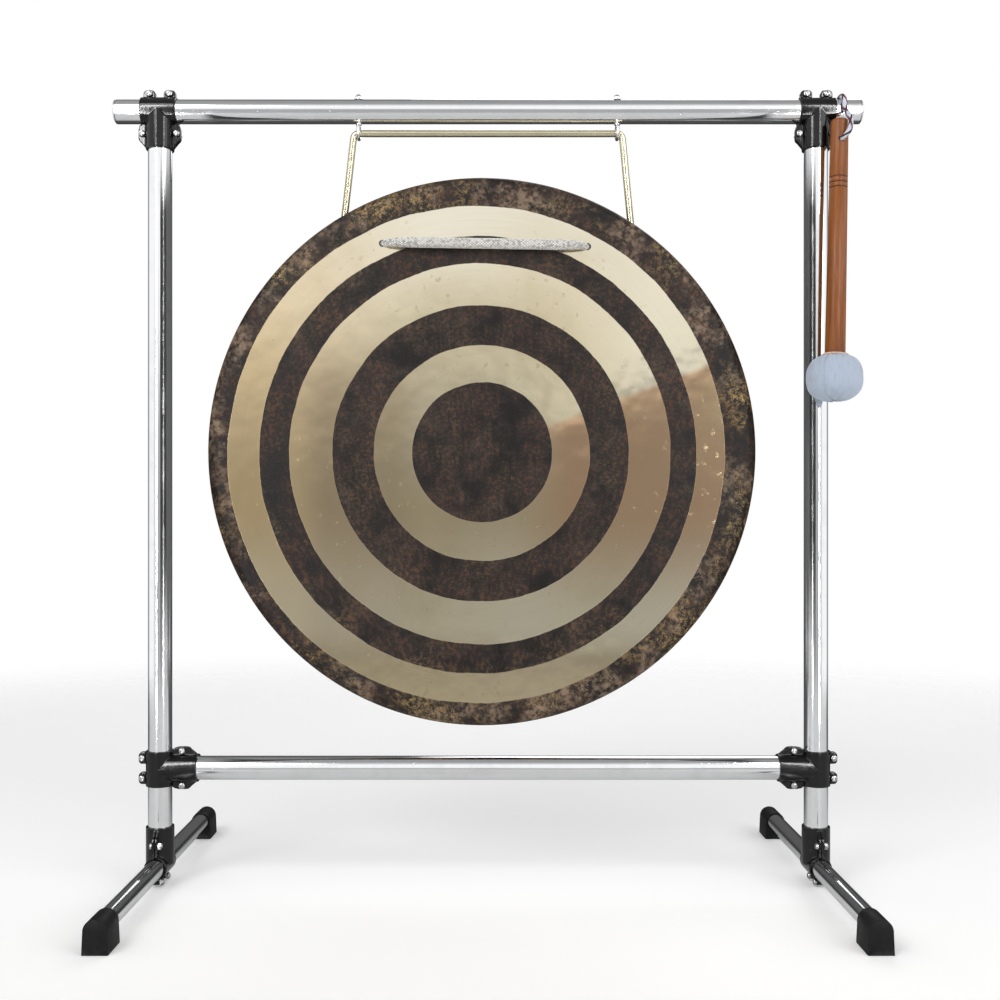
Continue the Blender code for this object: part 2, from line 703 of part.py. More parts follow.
def wrist_cord():
    """A thin cord through the handle's hole and over the rail, its two ends meeting in the hole."""
    hole = MALLET_TOP + (MALLET_HEAD - MALLET_TOP).normalized() * CORD_HOLE_AT
    over = WRIST_CORD_R + TUBE_R + WRIST_CORD_OFF_RAIL
    route = [
        hole + Vector((0, -CORD_INTO_HOLE, 0)),
        hole + Vector((0, -10.5 * MM, 0)),
        hole + Vector((1.0, -14.8, 0.8)) * MM,
        hole + Vector((5.6, -16.8, 5.0)) * MM,
        hole + Vector((9.2, -13.2, 13.6)) * MM,
        hole + Vector((10.2, -8.4, 24.5)) * MM,
        Vector((WRIST_CORD_X + 0.6 * MM, -20.5 * MM, RAIL_Z - 6 * MM)),
    ]
    for degrees in (185, 150, 120, 90, 60, 30, 0, -30, -60):
        angle = math.radians(degrees)
        route.append(Vector((WRIST_CORD_X, over * math.cos(angle), RAIL_Z + over * math.sin(angle))))
    route += [
        Vector((WRIST_CORD_X, 0.5 * MM, RAIL_Z - 20.5 * MM)),
        hole + Vector((8.0, 17.5, 17.5)) * MM,
        hole + Vector((5.6, 15.2, 8.8)) * MM,
        hole + Vector((1.2, 14.4, 1.0)) * MM,
        hole + Vector((0, 10.6 * MM, 0)),
        hole + Vector((0, CORD_INTO_HOLE, 0)),
    ]
    points = smooth_route(route, 5 * MM)
    return cord_curve("wrist_cord", points, WRIST_CORD_R, FLECKED_CORD)


def build():
    top_rail()
    frame_tubes()
    rail_plug("left", -1)
    rail_plug("right", 1)
    feet()
    clamps()
    eye_bolts()
    swing_axis = empty_at("gong_swing_axis", (0, 0, SWING_Z))
    for piece in (gong_plate(), hanging_cord(), front_cord()):
        hang(piece, swing_axis)
    mallet_axis = empty_at("mallet_swing_axis", (MALLET_TOP.x, 0, RAIL_Z))
    for piece in (handle(), head_cover(), head_core(), wrist_cord()):
        hang(piece, mallet_axis)


build()
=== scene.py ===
"""Looks of a 657 mm tam tam in a free-standing stand of chromed tube, with its mallet.

X runs along the top rail, Y runs from front (-) to back (+), and Z is up, in metres.
"""

import math

import bmesh
import bpy
from mathutils import Matrix, Vector, noise


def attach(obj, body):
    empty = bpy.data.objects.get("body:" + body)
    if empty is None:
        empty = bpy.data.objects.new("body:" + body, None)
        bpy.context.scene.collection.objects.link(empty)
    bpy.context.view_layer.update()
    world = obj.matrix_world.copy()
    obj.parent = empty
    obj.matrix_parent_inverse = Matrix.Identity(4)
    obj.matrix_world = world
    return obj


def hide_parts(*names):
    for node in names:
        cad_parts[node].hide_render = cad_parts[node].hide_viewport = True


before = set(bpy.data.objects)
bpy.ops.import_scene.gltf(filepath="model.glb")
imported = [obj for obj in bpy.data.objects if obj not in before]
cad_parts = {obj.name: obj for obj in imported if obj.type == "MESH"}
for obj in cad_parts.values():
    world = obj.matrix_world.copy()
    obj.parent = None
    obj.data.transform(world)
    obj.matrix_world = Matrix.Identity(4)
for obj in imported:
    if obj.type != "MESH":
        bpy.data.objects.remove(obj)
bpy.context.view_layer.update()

MM = 0.001
GAP = 0.3 * MM

# Stand
TUBE_R = 14 * MM
LEG_R = 11 * MM
TUBE_WALL = 1.5 * MM
UPRIGHT_X = 391 * MM
RAIL_Z = 920 * MM
RAIL_HALF = 442 * MM
CROSS_Z = 138 * MM
LEG_Z = 23 * MM
LEG_HALF = 226 * MM
FOOT_HALF_WIDTH = 12.6 * MM
FOOT_FLARE = 1 * MM
FOOT_TOP = 35.6 * MM
FOOT_LENGTH = 38 * MM
FOOT_OUTER_Y = 230 * MM
PLUG_LENGTH = 16 * MM
PLUG_HEAD = 3 * MM

# Clamps
CLAMP_WALL = 2.5 * MM
CLAMP_HALF_WIDTH = 21 * MM
CLAMP_SLEEVE = 46 * MM
CLAMP_PLATE = 3 * MM
BRANCH_INTO_BAND = 3 * MM
CLAMP_SPLIT = 0.3 * MM
WING_X = 25 * MM
WING_BOLT = (20.4 * MM, -27 * MM)
LUG_X = 12 * MM
LUG_HALF_WIDTH = 7 * MM
LUG_PAST_BOLT = 4.4 * MM
LUG_PAST_BOLT_LOW = 3 * MM
LUG_BOLT_PAST_TUBE = 6.4 * MM
BOLT_R = 2.5 * MM
BOLT_HEAD_R = 4 * MM
BOLT_HEAD = 3.2 * MM
BOLT_NUT = 4 * MM
BOLT_TAIL = 1.2 * MM
CLAMP_VOXEL = 0.45 * MM

# Eye bolts
EYE_HALF_SPACING = 154 * MM
EYE_WIRE_R = 2 * MM
EYE_RING_R = 8 * MM
SHANK_R = 2.5 * MM
ACORN_R = 5.5 * MM
ACORN_HEIGHT = 6.5 * MM

# Gong
GONG_R = 328.5 * MM
GONG_X = -7.4 * MM
GONG_Z = 515.4 * MM
GONG_FACE_Y = -2.77 * MM
GONG_TILT = math.radians(0.9)
GONG_WALL = 2.5 * MM
GONG_DOME = 2 * MM
GONG_DEPTH = 30 * MM
SHOULDER_R = 13 * MM
RIM_LEAN = math.radians(8)
FACE_HOLE = (122 * MM, 245.2 * MM)
# Narrower than the solid's hole, because the cord seen here is drawn in to a point
FACE_HOLE_R = 4.3 * MM
RIM_HOLE_ANGLE = math.radians(31.85)
RIM_HOLE_SKEW = math.radians(0.55)
RIM_HOLE_DEPTH = 15 * MM
RIM_HOLE_R = 7 * MM
# (radius, centre across, centre up) of each boundary between scraped brass and oxide
RING_EDGES = (
    (83.5 * MM, 0.6 * MM, -1.6 * MM),
    (128.2 * MM, 0, -2.4 * MM),
    (176.5 * MM, -1.3 * MM, -2.9 * MM),
    (226.6 * MM, -2.1 * MM, -3.4 * MM),
    (260.4 * MM, -4.8 * MM, -4.5 * MM),
    (295.8 * MM, -6.6 * MM, -4.2 * MM),
)

# Cords
HANGER_R = 4 * MM
HANGER_BEND = 6.4 * MM
SWING_Z = 894 * MM
HITCH_R = 10.6 * MM
HITCH_DEPTH = 7.2 * MM
HITCH_PITCH = 9.2 * MM
FRONT_CORD_R = 6 * MM
FRONT_CORD_STUB = 22 * MM
CORD_TAPER = 34 * MM
CORD_TIP_R = 3.6 * MM
KNOT_DEPTH = 29 * MM
WRIST_CORD_R = 3 * MM
WRIST_CORD_X = 420.3 * MM
WRIST_CORD_OFF_RAIL = 0.8 * MM
CORD_INTO_HOLE = 0.6 * MM

# Mallet
MALLET_TOP = Vector((412, -24, 902)) * MM
MALLET_HEAD = Vector((399.5, -46.2, 597)) * MM
HANDLE_TOP_R = 10.2 * MM
HANDLE_END_R = 11.75 * MM
HANDLE_ROUND = 3.5 * MM
HANDLE_INTO_HEAD = 8 * MM
GROOVES_AT = (70 * MM, 76.5 * MM, 82.5 * MM)
GROOVE_HALF = 0.8 * MM
CORD_HOLE_AT = 25 * MM
CORD_HOLE_R = 3.6 * MM
HEAD_R = 32 * MM
HEAD_HALF_HEIGHT = 27 * MM
HEAD_COVER = 2.5 * MM
HEAD_MOUTH_R = 13.5 * MM
CORE_GAP = 0.8 * MM
HEAD_SEAMS = (-1.75, 1.4)
THREAD_R = 0.28 * MM

TURN = 2 * math.pi
# A radius below this is a single point on the axis
TINY = 1e-7
# How steeply the sloping edge rises to the right, in the brass's painted reflection and in the room it
# reflects
EDGE_SLOPE = 0.38
SCENE = bpy.context.scene
SIDES = (("left", -1), ("right", 1))


# Materials

class Nodes:
    """Short calls that add nodes to a tree and link them."""

    def __init__(self, tree):
        self.tree = tree

    def feed(self, socket, value):
        if isinstance(value, bpy.types.NodeSocket):
            self.tree.links.new(value, socket)
        elif isinstance(value, tuple) and len(socket.default_value) == 4:
            socket.default_value = (*value, 1)
        else:
            socket.default_value = value

    def node(self, kind, inputs, output=0, **settings):
        made = self.tree.nodes.new(f"ShaderNode{kind}")
        for name, value in settings.items():
            setattr(made, name, value)
        for key, value in inputs.items():
            self.feed(made.inputs[key], value)
        return made.outputs[output]

    def place(self, kind="Object"):
        return self.node("TexCoord", {}, kind)

    def stretch(self, vector, scale, move=(0, 0, 0)):
        return self.node("Mapping", {"Vector": vector, "Scale": scale, "Location": move})

    def axes(self, vector):
        """The vector's three parts as sockets."""
        first = self.node("SeparateXYZ", {"Vector": vector})
        return [first.node.outputs[i] for i in range(3)]

    def vector(self, x, y, z):
        return self.node("CombineXYZ", {0: x, 1: y, 2: z})

    def noise(self, vector, scale, detail=3.0, roughness=0.55, distortion=0.0, output=0):
        inputs = {"Vector": vector, "Scale": scale, "Detail": detail}
        inputs.update({"Roughness": roughness, "Distortion": distortion})
        return self.node("TexNoise", inputs, output)

    def cells(self, vector, scale, output="Distance", feature="F1"):
        return self.node("TexVoronoi", {"Vector": vector, "Scale": scale}, output, feature=feature)

    def math(self, operation, a, b=0.0, clamp=False):
        return self.node("Math", {0: a, 1: b}, operation=operation, use_clamp=clamp)

    def step(self, value, low, high, to_low=0.0, to_high=1.0):
        inputs = {"Value": value, "From Min": low, "From Max": high, "To Min": to_low, "To Max": to_high}
        return self.node("MapRange", inputs, interpolation_type="SMOOTHSTEP")

    def mix(self, share, a, b, blend="MIX"):
        return self.node("Mix", {0: share, 6: a, 7: b}, 2, data_type="RGBA", blend_type=blend)

    def bump(self, height, distance, normal=None, strength=1.0):
        inputs = {"Height": height, "Distance": distance, "Strength": strength}
        if normal is not None:
            inputs["Normal"] = normal
        return self.node("Bump", inputs)

    def angle(self, a, b):
        return self.math("ARCTAN2", a, b)

    def times(self, a, b, clamp=False):
        return self.math("MULTIPLY", a, b, clamp)


class Look(Nodes):
    """A material and its node tree."""

    def __init__(self, name, **values):
        self.material = bpy.data.materials.new(name)
        self.material.use_nodes = True
        super().__init__(self.material.node_tree)
        self.shader = self.tree.nodes["Principled BSDF"]
        self.set(**values)

    def set(self, **values):
        for name, value in values.items():
            self.feed(self.shader.inputs[name.replace("_", " ")], value)


def chrome(name, along_axis, tone=(0.92, 0.93, 0.945), rough=0.07):
    """Bright plating over drawn steel: faint draw lines along the piece, haze, specks and fine pits."""
    look = Look(name, Metallic=1.0, IOR=1.6)
    place = look.place()
    scale = [1.0, 1.0, 1.0]
    scale[along_axis] = 0.012
    lines = look.noise(look.stretch(place, scale), 2600, 2)
    haze = look.noise(place, 34, 4, 0.6)
    dust = look.step(look.noise(place, 900, 2), 0.66, 0.78)
    pits = look.step(look.cells(place, 420), 0.02, 0.09)
    wear = look.step(haze, 0.42, 0.72)
    colour = look.mix(wear, tone, tuple(0.93 * part for part in tone))
    colour = look.mix(look.times(dust, 0.35), colour, (0.55, 0.54, 0.52))
    spread = look.math("MULTIPLY_ADD", wear, 0.07)
    spread.node.inputs[2].default_value = rough
    spread = look.math("ADD", spread, look.times(dust, 0.25))
    look.set(Base_Color=colour, Roughness=spread)
    normal = look.bump(lines, 0.012 * MM)
    look.set(Normal=look.bump(pits, 0.02 * MM, normal))
    return look.material


def clamp_black():
    """Glossy black paint over pressed steel: orange peel, faint dust, and grey wear on the corners."""
    look = Look("clamp_paint", IOR=1.5, Specular_IOR_Level=0.4)
    place = look.place()
    peel = look.noise(place, 420, 2)
    smear = look.noise(place, 60, 4, 0.6)
    edge = look.step(look.node("NewGeometry", {}, "Pointiness"), 0.535, 0.60)
    chips = look.step(look.noise(place, 700, 3), 0.52, 0.62)
    worn = look.times(edge, chips)
    colour = look.mix(look.step(smear, 0.3, 0.8), (0.002, 0.002, 0.0024), (0.006, 0.006, 0.0065))
    look.set(Base_Color=look.mix(worn, colour, (0.09, 0.09, 0.093)))
    look.set(Roughness=look.step(smear, 0.25, 0.8, 0.07, 0.13))
    look.set(Metallic=look.times(worn, 0.8))
    look.set(Normal=look.bump(peel, 0.05 * MM, look.bump(smear, 0.06 * MM)))
    return look.material


def zinc():
    """Plated bolts: a soft shine with fine turning marks and darker spots."""
    look = Look("bolt_plate", Metallic=1.0)
    place = look.place()
    spots = look.noise(place, 900, 4, 0.65)
    marks = look.noise(place, 3800, 2)
    look.set(Base_Color=look.mix(look.step(spots, 0.35, 0.7), (0.58, 0.58, 0.59), (0.36, 0.36, 0.35)))
    look.set(Roughness=look.step(spots, 0.3, 0.75, 0.16, 0.34))
    look.set(Normal=look.bump(marks, 0.012 * MM))
    return look.material


def rubber():
    """Moulded satin rubber: a fine spark texture, pale scuffs and dust near the floor."""
    look = Look("foot_rubber_moulded", IOR=1.5, Specular_IOR_Level=0.15)
    place = look.place()
    grain = look.noise(place, 2300, 3, 0.6)
    cloud = look.noise(place, 70, 4, 0.62)
    scratch = look.noise(look.stretch(place, (1, 0.12, 1)), 900, 3)
    low = look.step(look.axes(place)[2], 0.0, 9 * MM, 1.0, 0.0)
    dust = look.times(low, look.step(cloud, 0.4, 0.75))
    scuffs = look.times(look.step(scratch, 0.62, 0.74), look.step(cloud, 0.5, 0.7))
    colour = look.mix(cloud, (0.005, 0.005, 0.0055), (0.012, 0.012, 0.0125))
    colour = look.mix(look.times(dust, 0.5), colour, (0.085, 0.080, 0.072))
    look.set(Base_Color=look.mix(look.times(scuffs, 0.5), colour, (0.075, 0.075, 0.076)))
    look.set(Roughness=look.step(cloud, 0.2, 0.8, 0.40, 0.58))
    look.set(Normal=look.bump(grain, 0.045 * MM))
    return look.material


def gong_bronze():
    """Hammered bronze with its oxide left on in rings and scraped to bright metal between them."""
    look = Look("gong_oxide_and_brass", IOR=1.5, Specular_IOR_Level=0.2)
    place = look.place()
    x, _, z = look.axes(place)
    across = look.math("SUBTRACT", x, GONG_X)
    up = look.math("SUBTRACT", z, GONG_Z)
    flat = look.vector(across, 0.0, up)
    radius = look.node("VectorMath", {0: flat}, "Value", operation="LENGTH")
    angle = look.angle(across, up)

    # Hand-scraped edges wander a little, and the scraping runs round the disc
    shifted = flat
    for scale, detail, reach in ((16, 2, 4 * MM), (120, 3, 1.2 * MM)):
        drift = look.noise(flat, scale, detail, output="Color")
        drift = look.node("VectorMath", {0: drift, 1: (0.5, 0.5, 0.5)}, operation="SUBTRACT")
        drift = look.node("VectorMath", {0: drift, "Scale": reach}, operation="SCALE")
        shifted = look.node("VectorMath", {0: shifted, 1: drift}, operation="ADD")
    shifted = look.node("VectorMath", {0: shifted, 1: (1.0, 0.0, 1.0)}, operation="MULTIPLY")
    brass = 0.0
    sign = 1
    for edge, middle_x, middle_z in RING_EDGES:
        ends = {0: shifted, 1: (middle_x, 0.0, middle_z)}
        distance = look.node("VectorMath", ends, "Value", operation="DISTANCE")
        past = look.step(distance, edge - 0.45 * MM, edge + 0.45 * MM)
        brass = look.math("ADD" if sign > 0 else "SUBTRACT", brass, past)
        sign = -sign
    facing = look.axes(look.place("Normal"))[1]
    front = look.step(facing, -0.25, -0.05, 1.0, 0.0)
    brass = look.times(brass, front, clamp=True)

    # Scraping lines in rings: the noise is sampled on a cylinder, so it has no seam
    ring_place = look.vector(
        look.times(look.math("COSINE", angle), 2.2),
        look.times(look.math("SINE", angle), 2.2),
        look.times(radius, 420.0),
    )
    lines = look.noise(ring_place, 1.0, 4, 0.7)
    fine_lines = look.noise(look.stretch(ring_place, (3.0, 3.0, 4.0)), 1.0, 3, 0.6)

    # Bright metal: cream to tan, with brown tarnish and small dark marks. The tints set by place on the face,
    # not by noise, are painted reflection of the room
    cloud = look.noise(flat, 5.5, 4, 0.6)
    tan = look.noise(flat, 2.6, 2, 0.5, 0.4)
    metal = look.mix(look.step(tan, 0.36, 0.66), (0.80, 0.735, 0.565), (0.66, 0.545, 0.355))
    # Painted reflection: the left half of the face is tinted orange-tan
    metal = look.mix(look.step(across, 0.0, -300 * MM, 0.0, 0.6), metal, (0.84, 0.60, 0.29))
    # Painted reflection: a brown band left of the middle, over the inner rings
    left = look.times(look.step(across, -60 * MM, -110 * MM), look.step(across, -225 * MM, -180 * MM))
    left = look.times(left, look.step(up, 150 * MM, 50 * MM, 0.0, 0.75))
    metal = look.mix(left, metal, (0.50, 0.37, 0.24))
    # Painted reflection: lighter cream low on the face, brown near the bottom, pale cream towards the top
    metal = look.mix(look.step(up, -60 * MM, -190 * MM, 0.0, 0.5), metal, (0.99, 0.93, 0.70))
    metal = look.mix(look.step(up, -205 * MM, -260 * MM, 0.0, 0.85), metal, (0.50, 0.41, 0.26))
    metal = look.mix(look.step(up, 120 * MM, 300 * MM, 0.0, 0.55), metal, (0.87, 0.84, 0.73))
    # Painted reflection: a duller olive tint over the lower middle rings
    painted_dim_reflection = look.times(look.step(radius, 235 * MM, 150 * MM), look.step(up, -130 * MM, -40 * MM))
    metal = look.mix(look.times(painted_dim_reflection, 0.45), metal, (0.58, 0.50, 0.31))
    # Painted reflection: a reddish-brown patch at right, below the sloping edge that the room's surround also
    # has
    slope = look.math("SUBTRACT", up, look.times(across, EDGE_SLOPE))
    sloped_painted_reflection = look.times(look.step(across, 20 * MM, 110 * MM), look.step(slope, 4 * MM, -6 * MM))
    sloped_painted_reflection = look.times(sloped_painted_reflection, look.step(up, -200 * MM, -60 * MM))
    metal = look.mix(look.times(sloped_painted_reflection, 0.9), metal, (0.62, 0.40, 0.24))
    metal = look.mix(look.step(cloud, 0.5, 0.75, 0.0, 0.5), metal, (0.55, 0.46, 0.27))
    blots = look.noise(flat, 85, 4, 0.62)
    blots = look.times(look.step(blots, 0.58, 0.70), look.step(cloud, 0.42, 0.58))
    metal = look.mix(look.times(blots, 0.55), metal, (0.30, 0.25, 0.15))
    pricks = look.step(look.cells(flat, 60), 0.035, 0.075, 1.0, 0.0)
    chance = look.step(look.noise(flat, 22, 2), 0.58, 0.66)
    metal = look.mix(look.times(pricks, chance), metal, (0.16, 0.12, 0.08))
    metal = look.mix(look.step(lines, 0.35, 0.75, 0.0, 0.07), metal, (0.45, 0.38, 0.24))

    # Oxide: dark brown-grey, mottled, with rust and gold where it has worn, mostly near the rim
    mottle = look.noise(place, 26, 6, 0.68)
    speck = look.noise(place, 210, 4, 0.7)
    grit = look.noise(place, 700, 3, 0.6)
    oxide = look.mix(look.step(mottle, 0.34, 0.66), (0.010, 0.0076, 0.0072), (0.027, 0.0195, 0.0165))
    oxide = look.mix(look.step(grit, 0.45, 0.75, 0.0, 0.5), oxide, (0.038, 0.031, 0.027))
    rust = look.times(look.step(speck, 0.47, 0.61), look.step(mottle, 0.40, 0.58))
    oxide = look.mix(look.times(rust, 0.65), oxide, (0.092, 0.040, 0.022))
    patch = look.noise(place, 9, 4, 0.66, 0.3)
    outer = look.step(radius, 250 * MM, 300 * MM, 0.12, 1.0)
    gold_here = look.times(look.step(patch, 0.47, 0.66), outer)
    gold = look.times(look.step(speck, 0.40, 0.66), gold_here)
    gold = look.times(gold, look.step(grit, 0.35, 0.6))
    oxide = look.mix(look.times(gold, 0.85), oxide, (0.50, 0.35, 0.15))
    ash = look.times(look.step(look.noise(place, 11, 5, 0.7), 0.47, 0.62), outer)
    ash = look.times(ash, look.step(look.noise(place, 120, 5, 0.72), 0.40, 0.62))
    oxide = look.mix(look.times(ash, 0.75), oxide, (0.29, 0.205, 0.140))

    look.set(Base_Color=look.mix(brass, oxide, metal))
    bare = look.math("MAXIMUM", brass, look.times(gold, 0.5))
    look.set(Metallic=look.math("MAXIMUM", bare, 0.1))
    polish = look.math("ADD", look.step(cloud, 0.3, 0.8, 0.07, 0.14), look.times(blots, 0.2))
    crust = look.step(mottle, 0.3, 0.7, 0.40, 0.62)
    rough = look.node("Mix", {0: brass, 2: crust, 3: polish})
    look.set(Roughness=rough)
    ripple = look.noise(flat, 22, 2)
    normal = look.bump(ripple, 0.35 * MM)
    normal = look.bump(lines, 0.010 * MM, normal, brass)
    normal = look.bump(fine_lines, 0.004 * MM, normal, brass)
    crumbs = look.math("ADD", speck, grit)
    normal = look.bump(crumbs, 0.10 * MM, normal, look.math("SUBTRACT", 1.0, brass))
    look.set(Normal=normal)
    return look.material


def braid(look, strands, pitch):
    """The turn, travel and height of a braid, from a cord's run: metres along, cosine and sine round."""
    run, cos, sin = look.axes(look.node("Attribute", {}, "Vector", attribute_name="run"))
    turn = look.times(look.angle(sin, cos), float(strands))
    travel = look.times(run, TURN / pitch)
    one = look.math("SINE", look.math("ADD", turn, travel))
    other = look.math("SINE", look.math("SUBTRACT", turn, travel))
    weave = look.math("ABSOLUTE", look.times(one, other))
    return turn, travel, look.math("POWER", weave, 0.5)


def gold_cord():
    """A smooth polyester cord in old gold: a fine braid, silky sheen and painted shade in its grooves."""
    look = Look("gold_cord_braid", IOR=1.48, Metallic=0.95, Roughness=0.2)
    place = look.place()
    weave = braid(look, 12, 3.4 * MM)[-1]
    fibre = look.noise(look.stretch(place, (1, 1, 0.25)), 3200, 2)
    cloud = look.noise(place, 60, 3)
    # Painted shade: the colour darkens in the braid's grooves
    colour = look.mix(weave, (0.40, 0.34, 0.20), (0.80, 0.74, 0.54))
    colour = look.mix(look.step(cloud, 0.3, 0.75, 0.0, 0.30), colour, (0.84, 0.79, 0.60))
    look.set(Base_Color=colour)
    look.set(Normal=look.bump(fibre, 0.012 * MM, look.bump(weave, 0.03 * MM)))
    return look.material


def white_cord():
    """A cotton braid, off-white, with painted shade in its grooves, fuzz and a little soiling."""
    look = Look("white_cord_braid", IOR=1.45, Roughness=0.82, Sheen_Weight=0.4, Sheen_Roughness=0.5)
    place = look.place()
    weave = braid(look, 6, 7.5 * MM)[-1]
    fuzz = look.noise(place, 2200, 4, 0.65)
    soil = look.noise(place, 90, 4, 0.6)
    # Painted shade: the colour darkens in the braid's grooves
    colour = look.mix(look.step(weave, 0.15, 0.85), (0.20, 0.19, 0.17), (0.97, 0.96, 0.92))
    colour = look.mix(look.step(soil, 0.45, 0.75, 0.0, 0.35), colour, (0.62, 0.60, 0.55))
    speckle = look.step(look.noise(place, 330, 2, 0.6), 0.50, 0.58, 0.0, 0.85)
    colour = look.mix(speckle, colour, (0.26, 0.25, 0.22))
    look.set(Base_Color=look.mix(look.step(fuzz, 0.3, 0.75, 0.0, 0.25), colour, (0.86, 0.85, 0.82)))
    look.set(Normal=look.bump(fuzz, 0.08 * MM, look.bump(weave, 0.5 * MM)))
    return look.material


def flecked_cord():
    """A thin braid in white and pale blue with dark red and black tracer strands."""
    look = Look("flecked_cord_braid", IOR=1.46, Roughness=0.62, Sheen_Weight=0.25, Sheen_Roughness=0.4)
    turn, travel, weave = braid(look, 8, 6.0 * MM)
    first = look.math("SINE", look.times(look.math("ADD", turn, travel), 0.25))
    second = look.math("SINE", look.times(look.math("SUBTRACT", turn, travel), 0.25))
    fibre = look.noise(look.place(), 2600, 3)
    # Painted shade: the colour darkens in the braid's grooves
    colour = look.mix(weave, (0.34, 0.37, 0.45), (0.80, 0.83, 0.90))
    blue = look.step(look.noise(look.place(), 130, 2), 0.48, 0.62, 0.0, 0.5)
    colour = look.mix(blue, colour, (0.50, 0.60, 0.82))
    colour = look.mix(look.step(first, 0.48, 0.60), colour, (0.20, 0.012, 0.022))
    colour = look.mix(look.step(second, 0.62, 0.74), colour, (0.008, 0.008, 0.013))
    look.set(Base_Color=colour)
    look.set(Normal=look.bump(fibre, 0.04 * MM, look.bump(weave, 0.16 * MM)))
    return look.material


def wood():
    """Orange-brown hardwood under thin varnish: long grain, pores and soft colour bands."""
    look = Look("handle_varnished_wood", IOR=1.5, Specular_IOR_Level=0.25)
    look.set(Coat_Weight=0.12, Coat_Roughness=0.22)
    place = look.place()
    long_way = look.stretch(place, (1, 1, 0.035))
    bands = look.noise(look.stretch(place, (1, 1, 0.06), (3, 1, 0)), 120, 4, 0.6, 0.6)
    grain = look.noise(long_way, 900, 5, 0.65)
    pores = look.step(look.noise(look.stretch(place, (1, 1, 0.05)), 2600, 2), 0.64, 0.76)
    colour = look.mix(look.step(bands, 0.3, 0.7), (0.33, 0.105, 0.020), (0.20, 0.058, 0.011))
    colour = look.mix(look.step(grain, 0.40, 0.72, 0.0, 0.65), colour, (0.135, 0.038, 0.008))
    colour = look.mix(look.times(pores, 0.5), colour, (0.085, 0.026, 0.010))
    depth = look.times(look.axes(place)[2], -1.0)
    # Darker in and near each of the three grooves
    for at in GROOVES_AT:
        near = look.math("ABSOLUTE", look.math("SUBTRACT", depth, at))
        darker_near_groove = look.step(near, 0.35 * GROOVE_HALF, 1.15 * GROOVE_HALF, 0.8, 0.0)
        colour = look.mix(darker_near_groove, colour, (0.045, 0.016, 0.007))
    look.set(Base_Color=colour)
    look.set(Roughness=look.step(grain, 0.3, 0.7, 0.34, 0.5))
    look.set(Normal=look.bump(pores, -0.05 * MM, look.bump(grain, 0.05 * MM)))
    return look.material


def fabric():
    """Brushed cotton flannel in pale blue-white: a visible weave, nap, pilling and grey soiling."""
    look = Look("head_flannel", IOR=1.45, Roughness=0.92, Sheen_Weight=0.45, Sheen_Roughness=0.45)
    look.set(Sheen_Tint=(0.92, 0.95, 1.0))
    place = look.place()
    x, y, z = look.axes(place)
    angle = look.angle(y, x)
    warp = look.math("SINE", look.times(angle, 170.0))
    weft = look.math("SINE", look.times(z, TURN / (1.15 * MM)))
    weave = look.times(warp, weft)
    slub = look.vector(look.times(angle, 9.0), look.times(z, 30.0), 0.0)
    slub = look.noise(slub, 2.4, 4)
    nap = look.noise(place, 1500, 4, 0.65)
    soil = look.noise(place, 55, 4, 0.6)
    colour = look.mix(look.step(weave, -0.6, 0.6), (0.36, 0.42, 0.52), (0.46, 0.54, 0.65))
    colour = look.mix(look.step(slub, 0.46, 0.70, 0.0, 0.6), colour, (0.30, 0.35, 0.45))
    colour = look.mix(look.step(soil, 0.48, 0.75, 0.0, 0.5), colour, (0.37, 0.37, 0.41))
    look.set(Base_Color=look.mix(look.step(nap, 0.45, 0.8, 0.0, 0.4), colour, (0.58, 0.65, 0.75)))
    normal = look.bump(nap, 0.10 * MM, look.bump(weave, 0.07 * MM))
    look.set(Normal=look.bump(slub, 0.14 * MM, normal))
    return look.material


def felt():
    """Pressed felt in peach: matted fibres and small tufts."""
    look = Look("head_peach_felt", IOR=1.45, Roughness=0.95, Sheen_Weight=0.5, Sheen_Roughness=0.5)
    place = look.place()
    fibres = look.noise(place, 1900, 5, 0.7, 1.2)
    tufts = look.noise(place, 260, 3, 0.6)
    colour = look.mix(look.step(tufts, 0.3, 0.7), (0.62, 0.36, 0.24), (0.82, 0.58, 0.44))
    look.set(Base_Color=look.mix(look.step(fibres, 0.4, 0.75, 0.0, 0.5), colour, (0.90, 0.74, 0.62)))
    look.set(Normal=look.bump(tufts, 0.2 * MM, look.bump(fibres, 0.15 * MM)))
    return look.material


def thread():
    """Sewing thread: twisted cotton."""
    look = Look("thread_cotton", IOR=1.45, Roughness=0.75, Sheen_Weight=0.3)
    fibre = look.noise(look.place(), 2500, 3)
    look.set(Base_Color=look.mix(fibre, (0.30, 0.34, 0.44), (0.55, 0.60, 0.70)))
    look.set(Normal=look.bump(fibre, 0.05 * MM))
    return look.material


# Shapes

def new_object(name, mesh, material=None, matrix=None):
    obj = bpy.data.objects.new(name, mesh)
    SCENE.collection.objects.link(obj)
    if matrix is not None:
        obj.matrix_world = matrix
    if material is not None:
        mesh.materials.clear()
        mesh.materials.append(material)
    return obj


